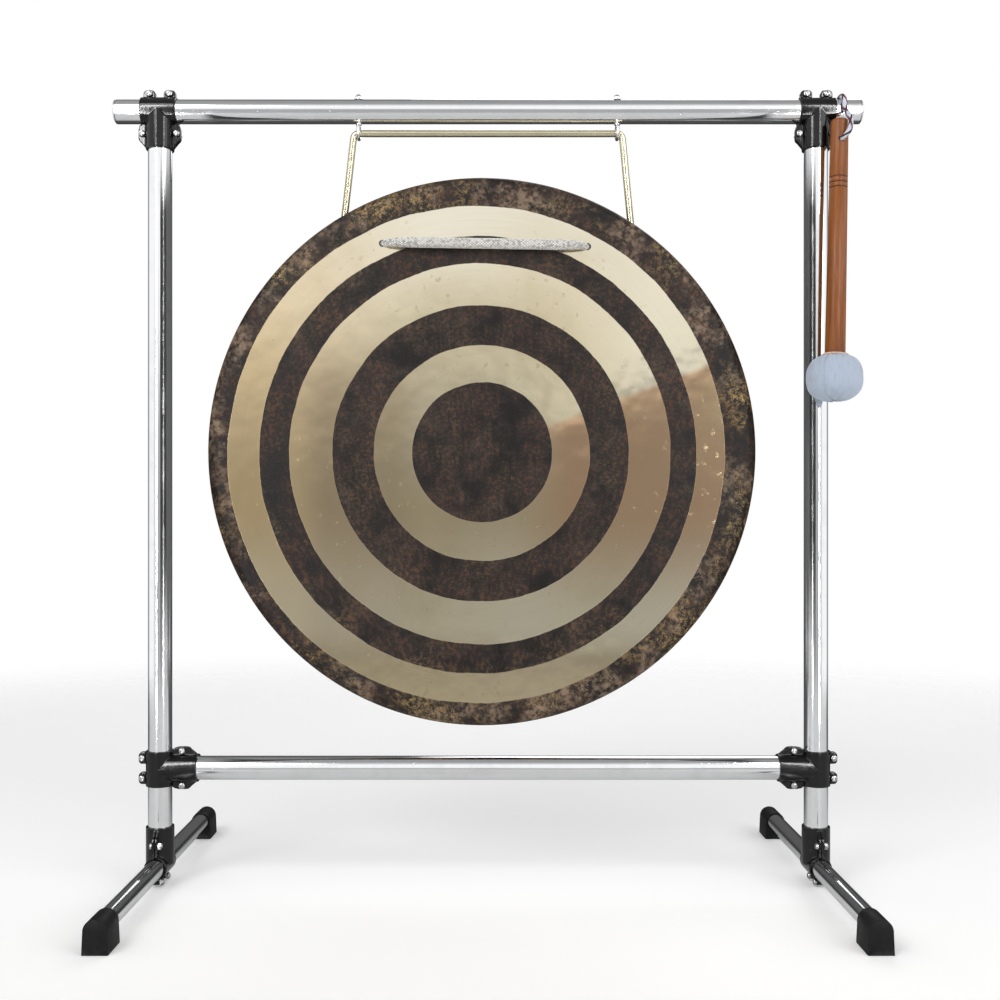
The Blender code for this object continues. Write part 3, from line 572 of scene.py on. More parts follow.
def skin(name, rings, closed=False, sharp=40):
    """A mesh over rings of points. A ring of one point closes an end, and any other end gets a flat cap."""
    verts = []
    starts = []
    for ring in rings:
        starts.append(len(verts))
        verts.extend(ring)
    pairs = list(zip(range(len(rings) - 1), range(1, len(rings))))
    if closed:
        pairs.append((len(rings) - 1, 0))
    faces = []
    for a, b in pairs:
        size_a = len(rings[a])
        size_b = len(rings[b])
        size = max(size_a, size_b)
        for i in range(size):
            j = (i + 1) % size
            near = (starts[a] + i % size_a, starts[a] + j % size_a)
            far = (starts[b] + j % size_b, starts[b] + i % size_b)
            faces.append(tuple(dict.fromkeys(near + far)))
    if not closed:
        for k in (0, len(rings) - 1):
            if len(rings[k]) > 1:
                faces.append(tuple(range(starts[k], starts[k] + len(rings[k]))))
    mesh = bpy.data.meshes.new(name)
    mesh.from_pydata(verts, [], faces)
    return neat(mesh, sharp)


def neat(mesh, sharp=40):
    """The mesh with outward normals, smooth shading and creases kept."""
    shape = bmesh.new()
    shape.from_mesh(mesh)
    bmesh.ops.recalc_face_normals(shape, faces=shape.faces)
    shape.to_mesh(mesh)
    shape.free()
    mesh.shade_smooth()
    mesh.set_sharp_from_angle(angle=math.radians(sharp))
    return mesh


def ring_at(radius, height, steps):
    """A ring of points about local Z, or one point where the radius is nothing."""
    if radius < TINY:
        return [Vector((0, 0, height))]
    angles = [TURN * i / steps for i in range(steps)]
    return [Vector((radius * math.cos(a), radius * math.sin(a), height)) for a in angles]


def turned(name, profile, steps=96, closed=False, sharp=40):
    """A mesh turned about local Z from (radius, height) points."""
    return skin(name, [ring_at(radius, height, steps) for radius, height in profile], closed, sharp)


def along(direction, place=(0, 0, 0)):
    """The matrix that turns local +Z to a direction and moves the origin to a place."""
    turn = Vector(direction).to_track_quat("Z", "Y").to_matrix().to_4x4()
    return Matrix.Translation(place) @ turn


def rod(radius, start, end, steps=64):
    """A cylinder between two points, for shaping other meshes."""
    start = Vector(start)
    run = Vector(end) - start
    mesh = turned("rod", [(0, run.length), (radius, run.length), (radius, 0), (0, 0)], steps)
    mesh.transform(along(run, start))
    return mesh


def baked(obj):
    """The object's mesh with its modifiers applied. The object is removed."""
    bpy.context.view_layer.update()
    graph = bpy.context.evaluated_depsgraph_get()
    mesh = bpy.data.meshes.new_from_object(obj.evaluated_get(graph))
    bpy.data.objects.remove(obj, do_unlink=True)
    return mesh


def shaped(mesh, *steps):
    """The mesh after Boolean steps, each an operation and a tool mesh."""
    obj = new_object("shaping", mesh)
    tools = []
    for operation, tool in steps:
        change = obj.modifiers.new("shape", "BOOLEAN")
        change.operation = operation
        change.object = new_object("tool", tool)
        tools.append(change.object)
    made = baked(obj)
    for tool in tools:
        bpy.data.objects.remove(tool, do_unlink=True)
    return made


def smooth_route(points, spacing):
    """Points about a spacing apart on the centripetal Catmull-Rom curve through a route's own points."""
    route = [2 * points[0] - points[1], *points, 2 * points[-1] - points[-2]]
    made = []
    for a, b, c, d in zip(route, route[1:], route[2:], route[3:]):
        t1 = math.sqrt((b - a).length)
        t2 = t1 + math.sqrt((c - b).length)
        t3 = t2 + math.sqrt((d - c).length)
        pieces = max(1, round((c - b).length / spacing))
        for i in range(pieces):
            t = t1 + (t2 - t1) * i / pieces
            ab = a + (b - a) * t / t1
            bc = b + (c - b) * (t - t1) / (t2 - t1)
            cd = c + (d - c) * (t - t2) / (t3 - t2)
            abc = ab + (bc - ab) * t / t2
            bcd = bc + (cd - bc) * (t - t1) / (t3 - t1)
            made.append(abc + (bcd - abc) * (t - t1) / (t2 - t1))
    return [*made, points[-1]]


def spaced(points, gap):
    """The points again, an equal gap apart along their line."""
    reach = [0.0]
    for a, b in zip(points, points[1:]):
        reach.append(reach[-1] + (b - a).length)
    count = max(2, round(reach[-1] / gap))
    made = []
    k = 0
    for i in range(count + 1):
        want = reach[-1] * i / count
        while k < len(points) - 2 and reach[k + 1] < want:
            k += 1
        share = (want - reach[k]) / max(reach[k + 1] - reach[k], 1e-9)
        made.append(points[k].lerp(points[k + 1], min(1, max(0, share))))
    return made


def length_of(points):
    return sum((b - a).length for a, b in zip(points, points[1:]))


def swept(name, points, sides, thick, closed=False):
    """A tube along the points, of radius thick(run, angle). Each point keeps its place in "run"."""
    last = len(points) - 1
    size = last + 1
    side = None
    rings = []
    places = []
    run = 0.0
    for i, point in enumerate(points):
        if closed:
            ahead = (points[(i + 1) % size] - points[i - 1]).normalized()
        else:
            ahead = (points[min(i + 1, last)] - points[max(i - 1, 0)]).normalized()
        if side is None:
            side = ahead.orthogonal().normalized()
        side = (side - ahead * side.dot(ahead)).normalized()
        other = ahead.cross(side)
        if i:
            run += (point - points[i - 1]).length
        ring = []
        for k in range(sides):
            angle = TURN * k / sides
            radius = thick(run, angle)
            ring.append(point + (side * math.cos(angle) + other * math.sin(angle)) * radius)
            places.append((run, math.cos(angle), math.sin(angle)))
        rings.append(ring)
    mesh = skin(name, rings, closed, 80)
    runs = mesh.attributes.new("run", "FLOAT_VECTOR", "POINT")
    for entry, place in zip(runs.data, places):
        entry.vector = place
    return mesh


def braid_height(run, angle, strands, pitch):
    travel = TURN * run / pitch
    weave = math.sin(strands * angle + travel) * math.sin(strands * angle - travel)
    return math.sqrt(abs(weave))


def finished(obj, body, slot, *nodes):
    """The piece rides on a body and stands for its CAD nodes. The slot is not used."""
    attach(obj, body)
    if nodes:
        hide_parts(*nodes)
    return obj


# Camera

CAMERA_AT = Vector((0, -1.373, 0.430))
CAMERA_AIM = Vector((0, 0, 0.430))
CAMERA_SHIFT = (0.012, 0.0228)
SENSOR_WIDTH = 36
LENS = 41.44


def add_camera():
    data = bpy.data.cameras.new("camera")
    data.sensor_width = SENSOR_WIDTH
    data.lens = LENS
    data.shift_x, data.shift_y = CAMERA_SHIFT
    camera = bpy.data.objects.new("camera", data)
    SCENE.collection.objects.link(camera)
    turn = (CAMERA_AIM - CAMERA_AT).to_track_quat("-Z", "Y").to_matrix().to_4x4()
    camera.matrix_world = Matrix.Translation(CAMERA_AT) @ turn
    SCENE.camera = camera


# Cords

def gong_point(x, depth, z):
    """A place in the room from one in the gong's own frame: depth is behind the face."""
    turn = Matrix.Rotation(GONG_TILT, 3, "Y")
    return turn @ Vector((x, depth, z)) + Vector((GONG_X, GONG_FACE_Y, GONG_Z))


def rim_hole_angle(sign):
    """How far a rim hole is from the top of the gong: the right one is a little further."""
    return RIM_HOLE_ANGLE + sign * RIM_HOLE_SKEW


def hanger_half(sign):
    """Half the hanging cord's route, from the middle of its top run to the tail of its hitch."""
    eye_x = sign * EYE_HALF_SPACING
    route = [Vector((0, 0, SWING_Z)), Vector((0.9 * eye_x, 0, SWING_Z))]
    for i in range(5):
        angle = math.pi / 2 * i / 4
        across = sign * HANGER_BEND * math.sin(angle)
        down = HANGER_BEND * (1 - math.cos(angle))
        route.append(Vector((eye_x + across, 0, SWING_Z - down)))
    rim_r = GONG_R - 2 * MM
    rim_angle = rim_hole_angle(sign)
    rim_x = sign * rim_r * math.sin(rim_angle)
    rim_z = rim_r * math.cos(rim_angle)
    rim = gong_point(rim_x, RIM_HOLE_DEPTH, rim_z)
    route.append(route[-1].lerp(rim, 0.45))
    route.append(route[-2].lerp(rim, 0.88))
    route.append(rim)
    route.append(gong_point(rim_x - sign * 0.6 * MM, RIM_HOLE_DEPTH - 0.5 * MM, rim_z - 9 * MM))
    route.append(gong_point(rim_x + sign * -8 * MM, RIM_HOLE_DEPTH - 3 * MM, rim_z - 16.5 * MM))
    route.append(gong_point(rim_x + sign * -21 * MM, HITCH_DEPTH + 2 * MM, rim_z - 19.5 * MM))
    hole_x, hole_z = FACE_HOLE
    for i in range(13):
        angle = math.radians(120 - 27.5 * i)
        x = sign * (hole_x - HITCH_R * math.cos(angle))
        depth = HITCH_DEPTH + HITCH_PITCH * i / 12
        route.append(gong_point(x, depth, hole_z + HITCH_R * math.sin(angle)))
    tail_x = sign * (hole_x + 4 * MM)
    route.append(gong_point(tail_x, HITCH_DEPTH + HITCH_PITCH + 1 * MM, hole_z + 19 * MM))
    route.append(gong_point(tail_x + sign * -3 * MM, HITCH_DEPTH + HITCH_PITCH + 2 * MM, hole_z + 29 * MM))
    return route


def hanging_cord():
    """One cord: hitched behind the left face hole, out of the rim, through both eyes, and back."""
    left = hanger_half(-1)
    right = hanger_half(1)
    line = smooth_route([*left[:0:-1], *right], 3 * MM)
    points = spaced(line, 1.2 * MM)
    whole = length_of(points)

    def thick(run, angle):
        end = min(run, whole - run)
        full = HANGER_R * (0.80 + 0.20 * min(1, end / (2 * MM)))
        return full + 0.05 * MM * braid_height(run, angle, 6, 3.4 * MM)

    cord = new_object("hanging_cord_look", swept("hanging_cord_look", points, 24, thick), GOLD_CORD)
    finished(cord, "gong", "gold_cord", "hanging_cord")


def front_cord_route():
    """From behind the left face hole, across the front of the gong, to behind the right one."""
    hole_x, hole_z = FACE_HOLE
    front = -GONG_DOME - FRONT_CORD_R - GAP
    half = [(hole_x, FRONT_CORD_STUB), (hole_x, 12 * MM), (hole_x - 0.6 * MM, 4 * MM)]
    for before, depth in ((3.2, -1.4), (8.5, -5.6), (16, -7.4), (27, -8.1)):
        half.append((hole_x - before * MM, depth * MM))
    half += [(0.6 * hole_x, front), (0.2 * hole_x, front)]
    places = [(-x, depth) for x, depth in half] + half[::-1]
    return [gong_point(x, depth, hole_z) for x, depth in places]


def trefoil(middle, scale):
    """Points of an overhand knot about a place, with its own axis along Y."""
    points = []
    for i in range(150):
        t = TURN * i / 150
        x = math.sin(t) + 2 * math.sin(2 * t)
        z = math.cos(t) - 2 * math.cos(2 * t)
        points.append(middle + Vector((x, -1.9 * math.sin(3 * t), z)) * scale)
    return points


def front_cord():
    """The carrying cord on the gong's face, with a stopper knot at each end behind it."""
    points = spaced(smooth_route(front_cord_route(), 2 * MM), 0.8 * MM)
    whole = length_of(points)

    def thick(run, angle):
        seen = min(run, whole - run) - FRONT_CORD_STUB
        share = min(1, max(0, seen / CORD_TAPER))
        behind = min(0.85, max(0, (-seen - 3 * MM) / (6 * MM)))
        full = CORD_TIP_R + (FRONT_CORD_R - CORD_TIP_R) * max(share**0.8, behind)
        return full - 0.45 * MM + 0.8 * MM * braid_height(run, angle, 6, 7.5 * MM)

    cord = new_object("front_cord_look", swept("front_cord_look", points, 66, thick), WHITE_CORD)
    finished(cord, "gong", "white_cord", "front_cord")
    hole_x, hole_z = FACE_HOLE
    for side, sign in SIDES:
        middle = gong_point(sign * hole_x, KNOT_DEPTH - 1 * MM, hole_z)

        def thin(run, angle):
            return 4.1 * MM + 0.35 * MM * braid_height(run, angle, 6, 7.5 * MM)

        mesh = swept(f"{side}_stopper_knot", trefoil(middle, 2.1 * MM), 32, thin, closed=True)
        knot = new_object(f"{side}_stopper_knot", mesh, WHITE_CORD)
        finished(knot, "gong", "white_cord", "front_cord")


def wrist_cord_route():
    hole = MALLET_TOP + (MALLET_HEAD - MALLET_TOP).normalized() * CORD_HOLE_AT
    over = WRIST_CORD_R + TUBE_R + WRIST_CORD_OFF_RAIL
    route = [
        hole + Vector((0, -CORD_INTO_HOLE, 0)),
        hole + Vector((0, -10.5 * MM, 0)),
        hole + Vector((1.0, -14.8, 0.8)) * MM,
        hole + Vector((5.6, -16.8, 5.0)) * MM,
        hole + Vector((9.2, -13.2, 13.6)) * MM,
        hole + Vector((10.2, -8.4, 24.5)) * MM,
        Vector((WRIST_CORD_X + 0.6 * MM, -20.5 * MM, RAIL_Z - 6 * MM)),
    ]
    for degrees in (185, 150, 120, 90, 60, 30, 0, -30, -60):
        angle = math.radians(degrees)
        route.append(Vector((WRIST_CORD_X, over * math.cos(angle), RAIL_Z + over * math.sin(angle))))
    route += [
        Vector((WRIST_CORD_X, 0.5 * MM, RAIL_Z - 20.5 * MM)),
        hole + Vector((8.0, 17.5, 17.5)) * MM,
        hole + Vector((5.6, 15.2, 8.8)) * MM,
        hole + Vector((1.2, 14.4, 1.0)) * MM,
        hole + Vector((0, 10.6 * MM, 0)),
        hole + Vector((0, CORD_INTO_HOLE, 0)),
    ]
    return route


def wrist_cord():
    """A thin cord through the handle's hole and over the rail, its two ends meeting in the hole."""
    points = spaced(smooth_route(wrist_cord_route(), 2 * MM), 0.6 * MM)

    def thick(run, angle):
        return WRIST_CORD_R - 0.1 * MM + 0.2 * MM * braid_height(run, angle, 8, 6 * MM)

    cord = new_object("wrist_cord_look", swept("wrist_cord_look", points, 40, thick), FLECKED_CORD)
    finished(cord, "mallet", "flecked_cord", "wrist_cord")


# Stand

def fine_tube(node, radius, start, end, material, slot="tube_chrome", drills=()):
    """A drawn tube with slightly rounded ends."""
    start = Vector(start)
    run = Vector(end) - start
    long = run.length
    bore = radius - TUBE_WALL
    lip = 0.4 * MM
    profile = [
        (radius - lip, long), (radius, long - lip), (radius, lip), (radius - lip, 0),
        (bore + lip, 0), (bore, lip), (bore, long - lip), (bore + lip, long),
    ]
    mesh = turned(f"{node}_look", profile, 96, closed=True)
    mesh.transform(along(run, start))
    if drills:
        mesh = neat(shaped(mesh, *(("DIFFERENCE", drill) for drill in drills)))
    tube = new_object(f"{node}_look", mesh, material)
    return finished(tube, "stand", slot, node)


def stand_tubes():
    drills = [rod(SHANK_R + GAP, (x, 0, 0.9 * RAIL_Z), (x, 0, 1.1 * RAIL_Z), 32) for _, x in eye_places()]
    fine_tube("top_rail", TUBE_R, (-RAIL_HALF, 0, RAIL_Z), (RAIL_HALF, 0, RAIL_Z), CHROME_X, drills=drills)
    for side, sign in SIDES:
        x = sign * UPRIGHT_X
        low = (x, 0, LEG_Z + LEG_R + 2 * GAP)
        high = (x, 0, RAIL_Z - TUBE_R - 2 * GAP)
        fine_tube(f"{side}_upright", TUBE_R, low, high, CHROME_Z)
        fine_tube(f"{side}_leg", LEG_R, (x, -LEG_HALF, LEG_Z), (x, LEG_HALF, LEG_Z), CHROME_Y)
    half = UPRIGHT_X - TUBE_R - 2 * GAP
    fine_tube("cross_rail", TUBE_R, (-half, 0, CROSS_Z), (half, 0, CROSS_Z), CHROME_X)


def rail_plugs():
    """A domed cap with a soft edge on each end of the rail."""
    spigot = TUBE_R - TUBE_WALL - GAP
    profile = []
    for i in range(13):
        angle = math.pi / 2 * i / 12
        radius = TUBE_R * math.sin(angle)
        profile.append((radius, PLUG_HEAD * math.cos(angle) ** 0.8))
    profile += [(TUBE_R, -0.1 * MM), (TUBE_R - 0.2 * MM, -GAP), (spigot, -GAP)]
    profile += [(spigot, -PLUG_LENGTH), (0, -PLUG_LENGTH)]
    for side, sign in SIDES:
        mesh = turned(f"{side}_rail_plug_look", profile, 96)
        mesh.transform(along((sign, 0, 0), (sign * (RAIL_HALF + 2 * GAP), 0, RAIL_Z)))
        plug = new_object(f"{side}_rail_plug_look", mesh, CHROME_X)
        finished(plug, "stand", "plug_chrome", f"{side}_rail_plug")


def foot_mesh(x, sign):
    """A moulded foot with soft edges, a lip round its socket and a shallow tread under it."""
    arch = FOOT_TOP - LEG_Z
    base = FOOT_HALF_WIDTH + FOOT_FLARE
    outline = [(-base, 0), (base, 0)]
    for i in range(33):
        angle = math.pi * i / 32
        outline.append((FOOT_HALF_WIDTH * math.cos(angle), LEG_Z + arch * math.sin(angle)))
    end_y = sign * FOOT_OUTER_Y
    rings = []
    for share, inset in ((0, 1.3), (0.012, 0.45), (0.035, 0), (0.965, 0), (0.99, 0.2), (1, 0.6)):
        y = end_y - sign * FOOT_LENGTH * share
        ring = []
        for across, up in outline:
            inwards = Vector((0 - across, 0.55 * FOOT_TOP - up)).normalized() * inset * MM
            ring.append(Vector((x + across + inwards.x, y, max(0, up + (inwards.y if up else 0)))))
        rings.append(ring)
    mesh = skin("foot", rings, sharp=35)
    socket = rod(LEG_R + GAP, (x, 0, LEG_Z), (x, sign * (LEG_HALF + 2 * GAP), LEG_Z), 64)
    cuts = [("DIFFERENCE", socket)]
    for i in range(5):
        y = end_y - sign * FOOT_LENGTH * (0.18 + 0.16 * i)
        groove = rod(1.1 * MM, (x - 9.5 * MM, y, -0.5 * MM), (x + 9.5 * MM, y, -0.5 * MM), 16)
        cuts.append(("DIFFERENCE", groove))
    return neat(shaped(mesh, *cuts), 35)


def feet():
    for end, sign in (("front", -1), ("rear", 1)):
        for side, x in (("left", -UPRIGHT_X), ("right", UPRIGHT_X)):
            node = f"{end}_{side}_foot"
            foot = new_object(f"{node}_look", foot_mesh(x, sign), RUBBER)
            finished(foot, "stand", "foot_rubber", node)


# Clamps

def lug_bolt_height(through_r):
    return through_r + LUG_BOLT_PAST_TUBE


def bolt_places(through_r):
    """The (x, z) of a clamp's four bolts in its own frame: two in the lugs, two in the wings."""
    up = lug_bolt_height(through_r)
    across, down = WING_BOLT
    return [(-LUG_X, up), (LUG_X, up), (-across, down), (across, down)]


def arc(middle_x, middle_z, radius, start, end, count=8):
    """Points of an arc, in degrees anticlockwise from +X."""
    points = []
    for i in range(count + 1):
        angle = math.radians(start + (end - start) * i / count)
        points.append((middle_x + radius * math.cos(angle), middle_z + radius * math.sin(angle)))
    return points


def clamp_outline(through_r):
    """The pressing's outline: round lugs past the through tube, and wings rounded about their bolts."""
    lug_up = lug_bolt_height(through_r)
    past = LUG_PAST_BOLT_LOW if through_r < TUBE_R else LUG_PAST_BOLT
    lug_in = LUG_X - LUG_HALF_WIDTH
    lug_out = LUG_X + LUG_HALF_WIDTH
    corner = 4.2 * MM
    top = lug_up + past
    wing_x, wing_z = WING_BOLT
    half = [(TUBE_R + CLAMP_WALL, -CLAMP_SLEEVE + 2 * MM)]
    half += arc(wing_x - 1.4 * MM, wing_z - 5 * MM, 6 * MM, -60, 0)
    half += [(WING_X, wing_z + 4 * MM), (WING_X - 1 * MM, -through_r - 4 * MM)]
    half.append((lug_out + 0.8 * MM, -through_r + 2 * MM))
    half += arc(lug_out - corner, top - corner, corner, 0, 90)
    half += arc(lug_in + corner, top - corner, corner, 90, 180)
    half.append((lug_in, through_r - 2 * MM))
    return half + [(-x, z) for x, z in reversed(half)]


def clamp_half_mesh(through_r):
    """One pressed half on the +Y side of the split, remeshed so that its bends are soft."""
    outline = clamp_outline(through_r)
    rings = []
    for depth in (-CLAMP_PLATE, CLAMP_SPLIT + CLAMP_PLATE):
        rings.append([Vector((x, depth, z)) for x, z in outline])
    half = CLAMP_HALF_WIDTH
    band = rod(through_r + CLAMP_WALL, (-half, 0, 0), (half, 0, 0), 96)
    sleeve = rod(TUBE_R + CLAMP_WALL, (0, 0, -CLAMP_SLEEVE), (0, 0, -1 * MM), 96)
    bore = rod(through_r + GAP, (-3 * half, 0, 0), (3 * half, 0, 0), 96)
    branch = rod(TUBE_R + GAP, (0, 0, -2 * CLAMP_SLEEVE), (0, 0, BRANCH_INTO_BAND - through_r), 96)
    side = rod(0.2, (0, CLAMP_SPLIT - 0.2, 0), (0, CLAMP_SPLIT, 0), 16)
    cuts = [("UNION", band), ("UNION", sleeve)]
    cuts += [("DIFFERENCE", side), ("DIFFERENCE", branch), ("DIFFERENCE", bore)]
    for x, z in bolt_places(through_r):
        cuts.append(("DIFFERENCE", rod(BOLT_R + GAP, (x, -half, z), (x, half, z), 32)))
    obj = new_object("clamp", shaped(skin("plate", rings), *cuts))
    remesh = obj.modifiers.new("remesh", "REMESH")
    remesh.mode = "VOXEL"
    remesh.voxel_size = CLAMP_VOXEL
    soft = obj.modifiers.new("soft", "SMOOTH")
    soft.factor = 0.5
    soft.iterations = 6
    fewer = obj.modifiers.new("fewer", "DECIMATE")
    fewer.ratio = 0.35
    mesh = baked(obj)
    mesh.shade_smooth()
    mesh.set_sharp_from_angle(angle=math.radians(60))
    return mesh


def hexagon(angle):
    """How much further than its flats a hexagon reaches at an angle."""
    return 1 / math.cos((angle + math.pi / 6) % (math.pi / 3) - math.pi / 6)


def hex_ring(radius, height, hexed, x=0.0, limit=1.0):
    """A ring about an axis at x, a hexagon or a circle, cut off round at a limit."""
    ring = []
    for i in range(48):
        angle = TURN * i / 48
        reach = min(radius * (hexagon(angle) if hexed else 1), limit)
        ring.append(Vector((x + reach * math.cos(angle), reach * math.sin(angle), height)))
    return ring


def bolt_mesh():
    """A dome-head bolt with a hexagon socket and its nut run up, along local Z."""
    grip = CLAMP_SPLIT + CLAMP_PLATE + GAP
    top = grip + BOLT_HEAD
    flats = 3.7 * MM
    nut = -grip - BOLT_NUT
    # (height, radius, whether the ring is a hexagon)
    loops = [
        (top - 1.7 * MM, 1.45 * MM, True), (top - 0.15 * MM, 1.45 * MM, True), (top, 1.75 * MM, False),
        (top - 0.1 * MM, 2.5 * MM, False), (top - 0.5 * MM, 3.3 * MM, False),
        (top - 1.2 * MM, 3.8 * MM, False), (top - 2.1 * MM, BOLT_HEAD_R, False),
        (grip + 0.15 * MM, BOLT_HEAD_R, False), (grip, 3.85 * MM, False), (grip, BOLT_R, False),
        (-grip, BOLT_R, False), (-grip, flats - 0.2 * MM, False), (-grip - 0.35 * MM, flats, True),
        (nut + 0.35 * MM, flats, True), (nut, flats - 0.2 * MM, False), (nut, BOLT_R, False),
        (nut - 0.3 * MM, BOLT_R - 0.25 * MM, False), (nut - 0.6 * MM, BOLT_R, False),
        (nut - 0.9 * MM, BOLT_R - 0.25 * MM, False), (nut - BOLT_TAIL, BOLT_R - 0.5 * MM, False),
    ]
    rings = [hex_ring(radius, height, hexed) for height, radius, hexed in loops]
    return skin("bolt", rings, sharp=30)


def clamp_frames():
    """(name, frame, through-tube radius) of the six clamps."""
    found = []
    for side, sign in SIDES:
        x = sign * UPRIGHT_X
        found.append((f"{side}_top_clamp", Matrix.Translation((x, 0, RAIL_Z)), TUBE_R))
        inwards = Matrix.Rotation(sign * math.pi / 2, 4, "Y")
        found.append((f"{side}_mid_clamp", Matrix.Translation((x, 0, CROSS_Z)) @ inwards, TUBE_R))
        upwards = Matrix(((0, 1, 0, 0), (1, 0, 0, 0), (0, 0, -1, 0), (0, 0, 0, 1)))
        found.append((f"{side}_base_clamp", Matrix.Translation((x, 0, LEG_Z)) @ upwards, LEG_R))
    return found


def clamps():
    halves = {radius: clamp_half_mesh(radius) for radius in (TUBE_R, LEG_R)}
    bolt = bolt_mesh()
    half_turn = Matrix.Rotation(math.pi, 4, "Z")
    for name, place, through_r in clamp_frames():
        for side, turn in (("back", Matrix.Identity(4)), ("front", half_turn)):
            node = f"{name}_{side}"
            half = new_object(f"{node}_look", halves[through_r], CLAMP_BLACK, place @ turn)
            finished(half, "stand", "clamp_black", node)
        for i, (x, z) in enumerate(bolt_places(through_r)):
            node = f"{name}_bolt_{i + 1}"
            spin = Matrix.Rotation(0.7 * i + 0.3, 4, "Z")
            screw = new_object(f"{node}_look", bolt, ZINC, place @ along((0, -1, 0), (x, 0, z)) @ spin)
            finished(screw, "stand", "bolt_zinc", node)


# Eye bolts

def eye_places():
    return (("left", -EYE_HALF_SPACING), ("right", EYE_HALF_SPACING))


def circle(middle, radius, count):
    """Points of a circle in the YZ plane."""
    angles = [TURN * i / count for i in range(count)]
    return [middle + Vector((0, math.cos(a), math.sin(a))) * radius for a in angles]


def eye_bolts():
    """Each eye hangs under the rail, its threaded shank goes through it, and a domed nut closes it on top."""
    ring_z = SWING_Z - HANGER_BEND + EYE_RING_R
    rail_top = RAIL_Z + TUBE_R
    for side, x in eye_places():
        line = circle(Vector((x, 0, ring_z)), EYE_RING_R, 64)
        ring = swept("eye", line, 24, lambda run, angle: EYE_WIRE_R, closed=True)
        low = ring_z + EYE_RING_R + 0.2 * EYE_WIRE_R
        collar = RAIL_Z - TUBE_R - GAP
        shank = [(0, low), (SHANK_R + 0.3 * MM, low), (SHANK_R + 0.9 * MM, collar - 1.4 * MM)]
        shank += [(SHANK_R + 0.9 * MM, collar - 0.3 * MM), (SHANK_R, collar - 0.1 * MM)]
        height = collar
        while height < rail_top + 2.6 * MM:
            shank += [(SHANK_R, height), (SHANK_R - 0.3 * MM, height + 0.4 * MM)]
            height += 0.8 * MM
        shank += [(SHANK_R - 0.4 * MM, rail_top + 3.5 * MM), (0, rail_top + 3.5 * MM)]
        stem = turned("stem", shank, 32)
        stem.transform(Matrix.Translation((x, 0, 0)))
        mesh = neat(shaped(ring, ("UNION", stem)), 35)
        eye = new_object(f"{side}_eye_bolt_look", mesh, EYE_CHROME)
        finished(eye, "stand", "eye_chrome", f"{side}_eye_bolt")
        acorn(side, x)


def acorn(side, x):
    """A domed nut: a hexagon with a flange, and a dome on it."""
    base = RAIL_Z + TUBE_R + GAP
    bore = SHANK_R + GAP
    flats = 4.6 * MM
    loops = [(0, bore, False), (0, ACORN_R, False), (0.5 * MM, ACORN_R, False), (0.8 * MM, flats, True)]
    loops += [(2.6 * MM, flats, True), (3.0 * MM, flats - 0.1 * MM, False)]
    for i in range(1, 8):
        angle = math.pi / 2 * i / 8
        height = 3.0 * MM + (ACORN_HEIGHT - 3.0 * MM) * math.sin(angle)
        loops.append((height, (flats - 0.3 * MM) * math.cos(angle), False))
    rings = [hex_ring(radius, base + height, hexed, x, ACORN_R) for height, radius, hexed in loops]
    rings.append([Vector((x, 0, base + ACORN_HEIGHT))])
    rings.reverse()
    rings.append(hex_ring(bore, base + 4 * MM, False, x))
    rings.append([Vector((x, 0, base + 4.5 * MM))])
    nut = new_object(f"{side}_acorn_nut_look", skin("acorn", rings, sharp=35), EYE_CHROME)
    finished(nut, "stand", "eye_chrome", f"{side}_acorn_nut")


# Gong

def gong_side(inset, rings):
    """(radius, height) points from the centre over the face and shoulder to the rim's back edge."""
    points = []
    flat_r = GONG_R - SHOULDER_R
    for i in range(rings):
        share = i / rings
        points.append((share * flat_r, GONG_DOME * (1 - share**2) - inset))
    corner = SHOULDER_R - inset
    for i in range(17):
        angle = math.pi / 2 - (math.pi / 2 + RIM_LEAN) * i / 16
        points.append((flat_r + corner * math.cos(angle), corner * math.sin(angle) - SHOULDER_R))
    radius, height = points[-1]
    run = height + GONG_DEPTH
    for share in (0.35, 0.7, 0.94):
        points.append((radius - share * run * math.tan(RIM_LEAN), height - share * run))
    points.append((radius - run * math.tan(RIM_LEAN) + (0.5 * MM if inset else -0.5 * MM), -GONG_DEPTH))
    return points


def hammered(x, z):
    """How far hammering has moved the skin at a place: broad undulation, and dimples about 20 mm apart."""
    spot = Vector((x, z, 0))
    broad = noise.noise(spot * 11) * 0.20 * MM
    dimples = noise.noise(spot * 48) * 0.085 * MM
    return broad + dimples


def gong_plate():
    """A bronze disc with a rounded shoulder and a rim turned back, and two pairs of cord holes."""
    profile = gong_side(0, 96) + gong_side(GONG_WALL, 72)[::-1]
    steps = 288
    rings = []
    for radius, height in profile:
        count = 1 if radius < TINY else steps
        ring = []
        for i in range(count):
            angle = TURN * i / steps
            x = radius * math.cos(angle)
            z = radius * math.sin(angle)
            ring.append(gong_point(x, -height + hammered(x, z), z))
        rings.append(ring)
    mesh = skin("gong", rings, sharp=60)
    hole_x, hole_z = FACE_HOLE
    cuts = []
    for sign in (-1, 1):
        front = gong_point(sign * hole_x, -20 * MM, hole_z)
        back = gong_point(sign * hole_x, 20 * MM, hole_z)
        cuts.append(("DIFFERENCE", rod(FACE_HOLE_R, front, back, 48)))
        angle = rim_hole_angle(sign)
        out = Vector((sign * math.sin(angle), 0, math.cos(angle)))
        inside = out * (GONG_R - 20 * MM)
        outside = out * (GONG_R + 20 * MM)
        start = gong_point(inside.x, RIM_HOLE_DEPTH, inside.z)
        end = gong_point(outside.x, RIM_HOLE_DEPTH, outside.z)
        cuts.append(("DIFFERENCE", rod(RIM_HOLE_R, start, end, 48)))
    mesh = neat(shaped(mesh, *cuts), 50)
    gong = new_object("gong_plate_look", mesh, GONG_BRONZE)
    finished(gong, "gong", "gong_bronze", "gong_plate")


